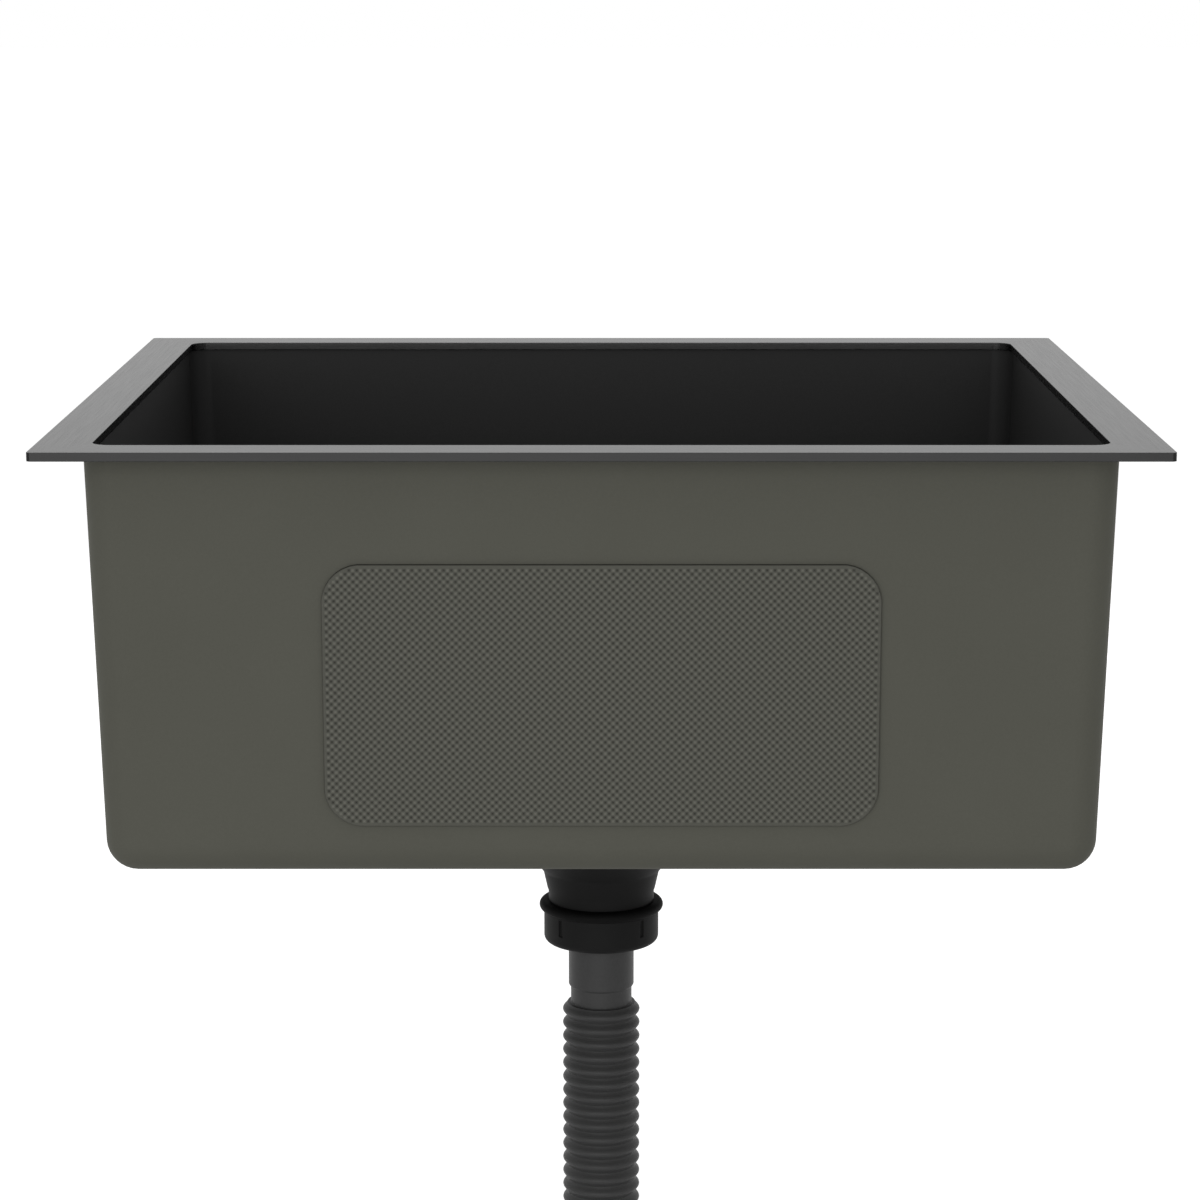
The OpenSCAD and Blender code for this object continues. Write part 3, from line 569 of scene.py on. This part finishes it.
def bumpy_pad(name, width, height):
    """A pad lying on its back, with its bumps upwards"""
    cell = bump_gap / 4
    across = 2 * math.ceil(width / 2 / cell)
    along = 2 * math.ceil(height / 2 / cell)
    face_z = pad_t - bump_h
    bpy.ops.mesh.primitive_grid_add(x_subdivisions=across, y_subdivisions=along, size=1)
    piece = bpy.context.object
    piece.name = name
    piece.data.name = name
    bpy.ops.object.mode_set(mode="EDIT")
    bpy.ops.transform.resize(value=(across * cell, along * cell, 1))
    bpy.ops.transform.translate(value=(0, 0, face_z))

    def lattice(place, remainder):
        column = round(place.x / cell)
        row = round(place.y / cell)
        deep_enough = inside_by(place.x, place.y, width, height) > plain_edge
        return column % 2 == 0 and row % 2 == 0 and (column + row) % 4 == remainder and deep_enough

    pick("VERT", lambda place: lattice(place, 0))
    bpy.ops.transform.translate(value=(0, 0, bump_h))
    pick("VERT", lambda place: lattice(place, 2))
    bpy.ops.transform.translate(value=(0, 0, -bump_h))
    # Faces split through the bumps' tops make every bump an even pyramid, with no slant to one side.
    bpy.ops.mesh.select_mode(type="FACE")
    bpy.ops.mesh.select_all(action="SELECT")
    bpy.ops.mesh.quads_convert_to_tris(quad_method="LONGEST_DIAGONAL")

    for side_x in (-1, 1):
        for side_y in (-1, 1):
            for cut in range(corner_cuts + 1):
                angle = math.pi / 2 * cut / corner_cuts
                way = (side_x * math.cos(angle), side_y * math.sin(angle), 0)
                place = (side_x * (width / 2 - pad_corner) + way[0] * (pad_corner - soft_edge),
                         side_y * (height / 2 - pad_corner) + way[1] * (pad_corner - soft_edge), 0)
                bpy.ops.mesh.select_all(action="SELECT")
                bpy.ops.mesh.bisect(plane_co=place, plane_no=way, clear_outer=True)
    bpy.ops.mesh.select_all(action="SELECT")
    bpy.ops.mesh.region_to_loop()
    for out, down in edge_steps:
        bpy.ops.mesh.extrude_edges_move(TRANSFORM_OT_translate={"value": (0, 0, -down * soft_edge)})
        bpy.ops.transform.resize(value=(1 + 2 * out * soft_edge / width, 1 + 2 * out * soft_edge / height, 1),
                                 center_override=(0, 0, 0))
    edge_depth = sum(down for out, down in edge_steps) * soft_edge
    bpy.ops.mesh.extrude_edges_move(TRANSFORM_OT_translate={"value": (0, 0, edge_depth - face_z)})
    bpy.ops.mesh.edge_face_add()
    bpy.ops.mesh.select_all(action="SELECT")
    bpy.ops.mesh.normals_make_consistent(inside=False)
    bpy.ops.object.mode_set(mode="OBJECT")
    return piece


def placed(piece, place, turn):
    """Turns the piece by degrees and moves it, and keeps both in its mesh"""
    bpy.ops.object.select_all(action="DESELECT")
    piece.select_set(True)
    bpy.context.view_layer.objects.active = piece
    piece.rotation_euler = [math.radians(angle) for angle in turn]
    piece.location = place
    bpy.ops.object.transform_apply(location=True, rotation=True, scale=True)


# A rubber mat painted over with the bowl. Its colour follows the relief: the hollows are painted dark
# as painted shade and the bumps light as a painted highlight, so that the lattice shows.
rubber_mat, tree = new_finish("painted_rubber_mat")
grit = grained(tree, 1.1 * mm, 3)
relief = add(tree, "ShaderNodeAttribute", {"attribute_name": "relief"})
height = add(tree, "ShaderNodeMath", {"operation": "MULTIPLY_ADD", 1: 0.15},
             {0: grit.outputs[0], 2: relief.outputs["Fac"]})
# Painted shade in the hollows and painted highlight on the bumps, from the stored relief.
tone = add(tree, "ShaderNodeMix", {"data_type": "RGBA", 6: srgb("#161611"), 7: srgb("#696961")},
           {0: height.outputs[0]})
paint = add(tree, "ShaderNodeBsdfPrincipled", {"Roughness": 0.72, "Specular IOR Level": 0.2},
            {"Base Color": tone.outputs[2]})
add(tree, "ShaderNodeOutputMaterial", None, {"Surface": paint.outputs[0]})


def finished_pad(piece, name, node):
    """A copy of the flat pad with its own mesh, painted and in place of one plain node"""
    copy = piece.copy()
    copy.data = piece.data.copy()
    copy.name = name
    copy.data.name = name
    bpy.context.scene.collection.objects.link(copy)
    fit(copy, rubber_mat, "pad", "sink", node)
    return copy


def with_relief(piece):
    """Stores the height of each point on the pad's face, from 0 in the hollows to 1 on the bumps"""
    stored = piece.data.attributes.new("relief", "FLOAT", "POINT")
    low = pad_t - 2 * bump_h
    for point, corner in zip(stored.data, piece.data.vertices):
        point.value = min(max((corner.co.z - low) / (2 * bump_h), 0), 1)
    smoothed(piece)
    return piece


wall_pad = with_relief(bumpy_pad("wall_pad", pad_w, pad_h))
pad_z = -pad_drop - pad_h / 2
for name, node, half, turn in (
    ("front_sound_pad", "pad_front", top_half_y, 0), ("right_sound_pad", "pad_right", top_half_x, 90),
    ("rear_sound_pad", "pad_rear", top_half_y, 180), ("left_sound_pad", "pad_left", top_half_x, -90),
):
    out = half + pad_z * math.tan(draft) + skin_t + glue_gap
    angle = math.radians(turn)
    pad = finished_pad(wall_pad, name, node)
    placed(pad, (out * math.sin(angle), -out * math.cos(angle), pad_z), (90 + math.degrees(draft), 0, turn))
bpy.data.objects.remove(wall_pad)

floor_pad = with_relief(bumpy_pad("floor_pad", base_pad_w, base_pad_d))
low_x = top_half_x + (floor_z + bend_r) * math.tan(draft) - bend_r
fall = math.degrees(math.atan(floor_fall / (low_x - fall_r)))
base_x = low_x - base_pad_edge - base_pad_w / 2
base_z = floor_z - skin_t - glue_gap - floor_fall * (low_x - base_x) / (low_x - fall_r)
for name, node, side in (("left_base_pad", "pad_base_left", -1), ("right_base_pad", "pad_base_right", 1)):
    pad = finished_pad(floor_pad, name, node)
    placed(pad, (side * base_x, 0, base_z), (180, side * fall, 0))
bpy.data.objects.remove(floor_pad)
bpy.ops.object.select_all(action="DESELECT")

# Outlet body: a moulded black polypropylene cup under the drain hole. It narrows through a funnel to a
# spigot, and four arms inside it carry the boss that the fixing screw pulls up to.
body_low, body_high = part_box("outlet_body")
dish_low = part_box("strainer_dish")[0].z / mm
dish_t = 1
flange_high = body_high.z / mm
flange_r = body_high.x / mm
flange_t = 4
body_wall = 2.5
cup_r = 44
spigot_r = 24
spigot_bore_r = 20.5
funnel_r = 29.4
funnel_end_r = 26.85
shoulder_r = 36.5
shoulder_rise = 6
shoulder_drop = 2.5
funnel_drop = 11.5
funnel_h = 10.3
dish_z = dish_low + dish_t
cup_low = dish_z + shoulder_rise
shoulder_z = dish_z - shoulder_drop
funnel_z = dish_z - funnel_drop
funnel_end = funnel_z - funnel_h
spigot_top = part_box("joint_ring")[1].z / mm
spigot_low = body_low.z / mm
outline = [
    (cup_r - body_wall, flange_high), (flange_r, flange_high), (flange_r, flange_high - flange_t),
    (cup_r, flange_high - flange_t), (cup_r, cup_low), (cup_r - 1.2, cup_low - 2.2),
    (shoulder_r + 1.4, shoulder_z + 1.2), (shoulder_r, shoulder_z - 0.3), (funnel_r + 1.1, funnel_z + 1.6),
    (funnel_r, funnel_z), (funnel_end_r + 0.6, funnel_end + 1.6), (funnel_end_r, funnel_end),
    (funnel_end_r, spigot_top), (spigot_r, spigot_top), (spigot_r, spigot_low), (spigot_bore_r, spigot_low),
    (spigot_bore_r, spigot_top), (funnel_end_r - body_wall, funnel_end), (funnel_r - body_wall, funnel_z),
    (shoulder_r - body_wall, shoulder_z), (cup_r - body_wall, cup_low),
]
outlet = turned("moulded_outlet_body", outline)
boss_gap = 0.2
boss_l = 17
boss_r = 7
insert_l = 12
boss_high = dish_low - boss_gap
boss_low = boss_high - boss_l
insert_high = boss_low + insert_l
small_around = 48
screw_bore = 3.2
insert_bore = 4.6
boss = turned("boss", [
    (screw_bore, boss_high), (boss_r, boss_high), (boss_r, boss_low), (insert_bore, boss_low),
    (insert_bore, insert_high), (screw_bore, insert_high),
], small_around)
arm_l = 20
arm_t = 4
arm_h = 10
arm_middle = 15.8
bpy.ops.mesh.primitive_cube_add(size=1, location=(arm_middle * mm, 0, (boss_low + arm_h / 2) * mm))
arms = bpy.context.object
arms.scale = (arm_l * mm, arm_t * mm, arm_h * mm)


def repeated(piece, count, first_turn=0):
    """Turns the piece about the drain's axis by degrees, and copies its mesh around it, count times in all"""
    bpy.ops.object.transform_apply(location=True, rotation=True, scale=True)
    bpy.ops.object.mode_set(mode="EDIT")
    bpy.ops.mesh.select_all(action="SELECT")
    bpy.ops.transform.rotate(value=-math.radians(first_turn), orient_axis="Z", center_override=(0, 0, 0))
    bpy.ops.mesh.spin(dupli=True, steps=count - 1, angle=math.tau * (count - 1) / count,
                      center=(0, 0, 0), axis=(0, 0, 1))
    bpy.ops.object.mode_set(mode="OBJECT")


repeated(arms, 4, 45)


def joined(piece, *others):
    """Joins the others to the piece, so that they are one object"""
    bpy.ops.object.select_all(action="DESELECT")
    for other in others:
        other.select_set(True)
    piece.select_set(True)
    bpy.context.view_layer.objects.active = piece
    bpy.ops.object.join()


joined(outlet, boss, arms)
smoothed(outlet, 0.5)
fit(outlet, moulded_pp, "outlet_plastic", "sink", "outlet_body")

# Joint ring: a soft black rubber ring, round in section, squeezed between the outlet's shoulder and
# the union nut.
ring_low, ring_high = (corner.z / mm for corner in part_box("joint_ring"))
ring_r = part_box("joint_ring")[1].x / mm
ring_round = 2.5
ring_gap = 0.1
ring_bore = spigot_r + ring_gap
ring_middle = ring_low + ring_round
arc_steps = 12
arc = [
    (ring_r - ring_round + ring_round * math.cos(math.pi * step / arc_steps - math.pi / 2),
     ring_middle + ring_round * math.sin(math.pi * step / arc_steps - math.pi / 2))
    for step in range(arc_steps + 1)
]
joint = turned("squeezed_joint_ring", [
    (ring_bore, ring_low), *arc, (funnel_end_r, ring_high), (ring_bore, ring_high),
])
smoothed(joint)

# Moulded rubber is black and dull, and shines only faintly where it is pressed round.
rubber, tree = new_finish("moulded_black_rubber")
grain = grained(tree, 0.5 * mm, 2)
tone = add(tree, "ShaderNodeMix", {"data_type": "RGBA", 6: srgb("#0f0f0f"), 7: srgb("#151515")},
           {0: grain.outputs[0]})
dents = add(tree, "ShaderNodeBump", {"Strength": 0.15, "Distance": 0.04 * mm}, {"Height": grain.outputs[0]})
skin = add(tree, "ShaderNodeBsdfPrincipled", {"Roughness": 0.6, "Specular IOR Level": 0.04},
           {"Base Color": tone.outputs[2], "Normal": dents.outputs[0]})
add(tree, "ShaderNodeOutputMaterial", None, {"Surface": skin.outputs[0]})
fit(joint, rubber, "seal_rubber", "sink", "joint_ring")

# Union nut: a black polypropylene nut that holds the hose's collar up against the spigot. Four notches
# in its side take a hook spanner, and its lower edge is well rounded.
nut_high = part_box("union_nut")[1].z / mm
nut_r = 29.15
nut_gap = 0.2
nut_bore = spigot_r + nut_gap
nut_round = 3.3
nut_lip_t = 3.2
nut_lip = nut_low + nut_lip_t
lip_gap = 0.3
lip_bore = cuff_r + lip_gap
notch_drop = 1
notch_rise = 7
notch_high = nut_high - notch_drop
notch_low = nut_low + notch_rise
notch_depth = 1
notch_turn = 45
turn_margin = 1
side_margin = 0.2
round_steps = 6
nut_around = 72
corner_arc = [
    (nut_r - nut_round + nut_round * math.sin(math.pi / 2 * step / round_steps),
     nut_low + nut_round - nut_round * math.cos(math.pi / 2 * step / round_steps))
    for step in range(round_steps + 1)
]
nut = turned("notched_union_nut", [
    (lip_bore, nut_low), *corner_arc, (nut_r, notch_low), (nut_r, notch_high), (nut_r, nut_high),
    (nut_bore, nut_high), (nut_bore, nut_lip), (lip_bore, nut_lip),
], nut_around)
bpy.ops.object.mode_set(mode="EDIT")
half_face = math.tau / nut_around / 2
bpy.ops.transform.rotate(value=-half_face, orient_axis="Z", center_override=(0, 0, 0))


def in_notch(place):
    """Whether a face is in the nut's side where a notch is cut, at the middle between x and y"""
    turn = math.degrees(math.atan2(place.y, place.x)) % 90
    outer = place.xy.length > (nut_r - side_margin) * mm
    return outer and abs(turn - notch_turn) < turn_margin and notch_low * mm < place.z < notch_high * mm


pick("FACE", in_notch)
bpy.ops.mesh.inset(thickness=0, depth=-notch_depth * mm, use_individual=True)
bpy.ops.object.mode_set(mode="OBJECT")
smoothed(nut, 0.35)
fit(nut, moulded_pp, "outlet_plastic", "sink", "union_nut")

# Strainer dish: pressed and spun from stainless steel and coated dark like the bowl. Its flange lies on
# the seat, the basket hangs on its ledge, and the screw in its middle holds the outlet body up.
dish_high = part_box("strainer_dish")[1].z / mm
dish_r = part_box("strainer_dish")[1].x / mm
throat_r = 42.2
ledge_r = 39.5
ledge_drop = 5.6
ledge_z = dish_high - ledge_drop
dish_floor_r = 30.5
drain_r = 20
hub_r = 7.5
screw_hole = 3.1
spoke_w = 5
outline = [
    (dish_r, dish_high - 0.9), (dish_r - 0.4, dish_high - 0.3), (dish_r - 1.4, dish_high),
    (throat_r + 1.4, dish_high), (throat_r + 0.5, dish_high - 0.2), (throat_r + 0.1, dish_high - 0.7),
    (throat_r, dish_high - 1.4), (throat_r, ledge_z + 0.6), (throat_r - 0.2, ledge_z + 0.15),
    (throat_r - 0.7, ledge_z), (ledge_r + 0.7, ledge_z), (ledge_r + 0.2, ledge_z - 0.2),
    (ledge_r - 0.1, ledge_z - 0.8), (dish_floor_r + 0.9, dish_z + 3.4), (dish_floor_r + 0.3, dish_z + 1.6),
    (dish_floor_r - 0.6, dish_z + 0.5), (dish_floor_r - 2.2, dish_z), (drain_r, dish_z),
    (drain_r, dish_low), (dish_floor_r + 0.2, dish_low), (dish_floor_r + 1.5, dish_low + 0.9),
    (ledge_r + 1, ledge_z - 1), (throat_r + 1, ledge_z - 1), (throat_r + 1, dish_high - 1.2),
    (dish_r, dish_high - 1.2),
]
dish = turned("spun_strainer_dish", outline)
hub = turned("hub", [
    (screw_hole, dish_z), (hub_r, dish_z), (hub_r, dish_low), (screw_hole, dish_low),
], small_around)
spoke_start = (screw_hole + hub_r) / 2
spoke_end = drain_r + 1
spoke_middle = ((spoke_start + spoke_end) / 2 * mm, 0, (dish_z + dish_low) / 2 * mm)
bpy.ops.mesh.primitive_cube_add(size=1, location=spoke_middle)
spokes = bpy.context.object
spokes.scale = ((spoke_end - spoke_start) * mm, spoke_w * mm, dish_t * mm)
repeated(spokes, 4)
joined(dish, hub, spokes)
smoothed(dish, 0.2)

# Spun and darkly coated stainless steel mirrors in rings around the drain. Its turning lines are
# really about 0.1 mm apart, and are drawn 0.5 mm apart so that they show.
spun_steel, tree = new_finish("spun_stainless_with_dark_coating")
spot = add(tree, "ShaderNodeTexCoord")
turning_gap = 0.5 * mm
parts = add(tree, "ShaderNodeSeparateXYZ", None, {0: spot.outputs["Object"]})
flat = add(tree, "ShaderNodeCombineXYZ", None, {0: parts.outputs[0], 1: parts.outputs[1]})
radius = add(tree, "ShaderNodeVectorMath", {"operation": "LENGTH"}, {0: flat.outputs[0]})
where = add(tree, "ShaderNodeCombineXYZ", None, {0: radius.outputs["Value"], 2: parts.outputs[2]})
lines = add(tree, "ShaderNodeTexNoise", {"Scale": 1 / turning_gap, "Detail": 2}, {"Vector": where.outputs[0]})
tone = add(tree, "ShaderNodeMix", {"data_type": "RGBA", 6: srgb("#454545"), 7: srgb("#525252")},
           {0: lines.outputs[0]})
rough = add(tree, "ShaderNodeMapRange", {"To Min": 0.24, "To Max": 0.38}, {"Value": lines.outputs[0]})
steel = add(tree, "ShaderNodeBsdfPrincipled", {"Metallic": 1.0},
            {"Base Color": tone.outputs[2], "Roughness": rough.outputs[0]})
add(tree, "ShaderNodeOutputMaterial", None, {"Surface": steel.outputs[0]})
fit(dish, spun_steel, "strainer_steel", "sink", "strainer_dish")

# Basket strainer: a thin spun basket that hangs on the dish's ledge by its rolled lip. Its floor and
# side are punched with small round holes.
basket_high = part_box("basket")[1].z / mm
basket_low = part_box("basket")[0].z / mm
lip_r = 41.8
basket_t = 0.8
basket_wall_r = 38.6
basket_floor_r = 30
bush_hole_r = 6.6
strainer_hole_r = 1.75
hole_around = 16
hole_pitch = 5.5
first_ring_r = 12.25
floor_rings = 3
side_holes = 24
side_ring_r = 35
punch_l = 12
outline = [
    (lip_r, basket_high - 0.35), (lip_r - 0.3, basket_high), (basket_wall_r + 0.4, basket_high),
    (basket_wall_r - 0.6, basket_high - 0.5), (basket_floor_r + 0.6, basket_low + 2.4),
    (basket_floor_r - 0.1, basket_low + 1.2), (basket_floor_r - 1.6, basket_low + basket_t),
    (bush_hole_r, basket_low + basket_t), (bush_hole_r, basket_low), (basket_floor_r - 1, basket_low),
    (basket_floor_r + 0.5, basket_low + 0.5), (basket_floor_r + 1.3, basket_low + 2),
    (basket_wall_r, basket_high - basket_t), (lip_r - 0.3, basket_high - basket_t),
    (lip_r, basket_high - 0.5),
]
basket = turned("punched_basket", outline)
punches = []
for ring in range(floor_rings):
    from_middle = first_ring_r + ring * hole_pitch
    bpy.ops.mesh.primitive_cylinder_add(vertices=hole_around, radius=strainer_hole_r * mm,
                                        depth=4 * basket_t * mm,
                                        location=(from_middle * mm, 0, (basket_low + basket_t / 2) * mm))
    repeated(bpy.context.object, math.floor(math.tau * from_middle / hole_pitch))
    punches.append(bpy.context.object)
bpy.ops.mesh.primitive_cylinder_add(vertices=hole_around, radius=strainer_hole_r * mm, depth=punch_l * mm,
                                    location=(side_ring_r * mm, 0, (basket_high + basket_low) / 2 * mm),
                                    rotation=(0, math.radians(90), 0))
repeated(bpy.context.object, side_holes)
punches.append(bpy.context.object)
joined(*punches)
punching = basket.modifiers.new("holes", "BOOLEAN")
punching.operation = "DIFFERENCE"
punching.object = punches[0]
bpy.context.view_layer.objects.active = basket
bpy.ops.object.modifier_apply(modifier="holes")
bpy.data.objects.remove(punches[0])
smoothed(basket)
fit(basket, spun_steel, "strainer_steel", "basket", "basket")

# Plug: a rubber disc on the foot of a steel stem that slides in the basket, with a pull knob on top.
# Pushed down, the disc covers the drain.
knob_low, knob_high = (corner.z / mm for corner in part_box("plug_knob"))
knob_r = 10
stem_r = 3
stem_bore = 3.05
knob_grip = 5
outline = [
    (0, knob_low + knob_grip), (stem_bore, knob_low + knob_grip), (stem_bore, knob_low), (4.6, knob_low),
    (5.2, knob_low + 0.3), (5.0, knob_low + 1.5), (5.1, knob_low + 2.8), (6.6, knob_low + 3.6),
    (8.6, knob_low + 4.1), (9.7, knob_low + 4.8), (knob_r, knob_low + 5.8), (9.8, knob_low + 6.8),
    (9.1, knob_low + 7.6), (7.8, knob_low + 8.1), (5.6, knob_high - 0.1), (3, knob_high), (0, knob_high),
]
knob_around = 72
knob = turned("turned_pull_knob", outline, knob_around)
smoothed(knob)
fit(knob, spun_steel, "strainer_steel", "plug", "plug_knob")

seal_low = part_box("plug_seal")[0].z / mm
foot_z, stem_high = (corner.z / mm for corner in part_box("plug_stem"))
seal_r = 24
foot_r = 12
foot_t = 1.5
foot_gap = 0.1
seal_lip_w = 3
seal_lip_rise = 0.7
screw_room = 2.6
groove_r = foot_r + foot_gap
groove_z = foot_z + foot_t + foot_gap
lip_high = foot_z + foot_t + seal_lip_rise
screw_room_z = seal_low + screw_room
outline = [
    (0, foot_z), (groove_r, foot_z), (groove_r, groove_z), (foot_r - seal_lip_w, groove_z),
    (foot_r - seal_lip_w, lip_high), (foot_r + 2, lip_high), (foot_r + 4.5, lip_high - 1.3),
    (seal_r - 2.5, foot_z - 0.4), (seal_r - 0.8, foot_z - 1.1), (seal_r - 0.1, foot_z - 2.1),
    (seal_r, seal_low + 1), (seal_r - 0.2, seal_low + 0.3), (seal_r - 0.8, seal_low), (hub_r, seal_low),
    (hub_r - 0.5, screw_room_z), (0, screw_room_z),
]
plug_disc = turned("moulded_plug_disc", outline)
smoothed(plug_disc)
fit(plug_disc, rubber, "seal_rubber", "plug", "plug_seal")

stem = turned("turned_plug_stem", [
    (0, foot_z), (foot_r - 0.3, foot_z), (foot_r, foot_z + 0.3), (foot_r, foot_z + foot_t - 0.3),
    (foot_r - 0.3, foot_z + foot_t), (stem_r + 0.5, foot_z + foot_t), (stem_r, foot_z + foot_t + 0.5),
    (stem_r, stem_high - 0.4), (stem_r - 0.4, stem_high), (0, stem_high),
], small_around)
smoothed(stem)

# Turned stainless steel is bright and bare, with fine rings from the lathe about 0.3 mm apart.
turned_steel, tree = new_finish("bright_turned_stainless")
spot = add(tree, "ShaderNodeTexCoord")
parts = add(tree, "ShaderNodeSeparateXYZ", None, {0: spot.outputs["Object"]})
height = add(tree, "ShaderNodeCombineXYZ", None, {2: parts.outputs[2]})
lines = add(tree, "ShaderNodeTexNoise", {"Scale": 1 / (0.3 * mm), "Detail": 2}, {"Vector": height.outputs[0]})
rough = add(tree, "ShaderNodeMapRange", {"To Min": 0.18, "To Max": 0.34}, {"Value": lines.outputs[0]})
steel = add(tree, "ShaderNodeBsdfPrincipled", {"Metallic": 1.0, "Base Color": srgb("#b9b7b2")},
            {"Roughness": rough.outputs[0]})
add(tree, "ShaderNodeOutputMaterial", None, {"Surface": steel.outputs[0]})
fit(stem, turned_steel, "screw_steel", "plug", "plug_stem")

# Small fastening and sealing parts, mostly out of sight: the steel screw, its brass insert, the white
# acetal bush, and the rubber gaskets, washer and O-ring.

# Machined brass is yellow, with a slightly uneven shine.
brass, tree = new_finish("machined_brass")
grain = grained(tree, 0.4 * mm, 2)
rough = add(tree, "ShaderNodeMapRange", {"To Min": 0.28, "To Max": 0.42}, {"Value": grain.outputs[0]})
metal = add(tree, "ShaderNodeBsdfPrincipled", {"Metallic": 1.0, "Base Color": srgb("#c8a45c")},
            {"Roughness": rough.outputs[0]})
add(tree, "ShaderNodeOutputMaterial", None, {"Surface": metal.outputs[0]})

# Moulded acetal is milky white and slippery, with a soft gloss.
acetal, tree = new_finish("moulded_white_acetal")
grain = grained(tree, 0.8 * mm, 2)
rough = add(tree, "ShaderNodeMapRange", {"To Min": 0.34, "To Max": 0.44}, {"Value": grain.outputs[0]})
skin = add(tree, "ShaderNodeBsdfPrincipled", {"Base Color": srgb("#d8d8d2"), "IOR": 1.48},
           {"Roughness": rough.outputs[0]})
add(tree, "ShaderNodeOutputMaterial", None, {"Surface": skin.outputs[0]})

for node, material in (
    ("fixing_screw", turned_steel), ("screw_insert", brass), ("stem_bush", acetal), ("flange_gasket", rubber),
    ("body_gasket", rubber), ("stem_o_ring", rubber), ("hose_washer", rubber),
):
    for material_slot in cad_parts[node].material_slots:
        material_slot.material = material
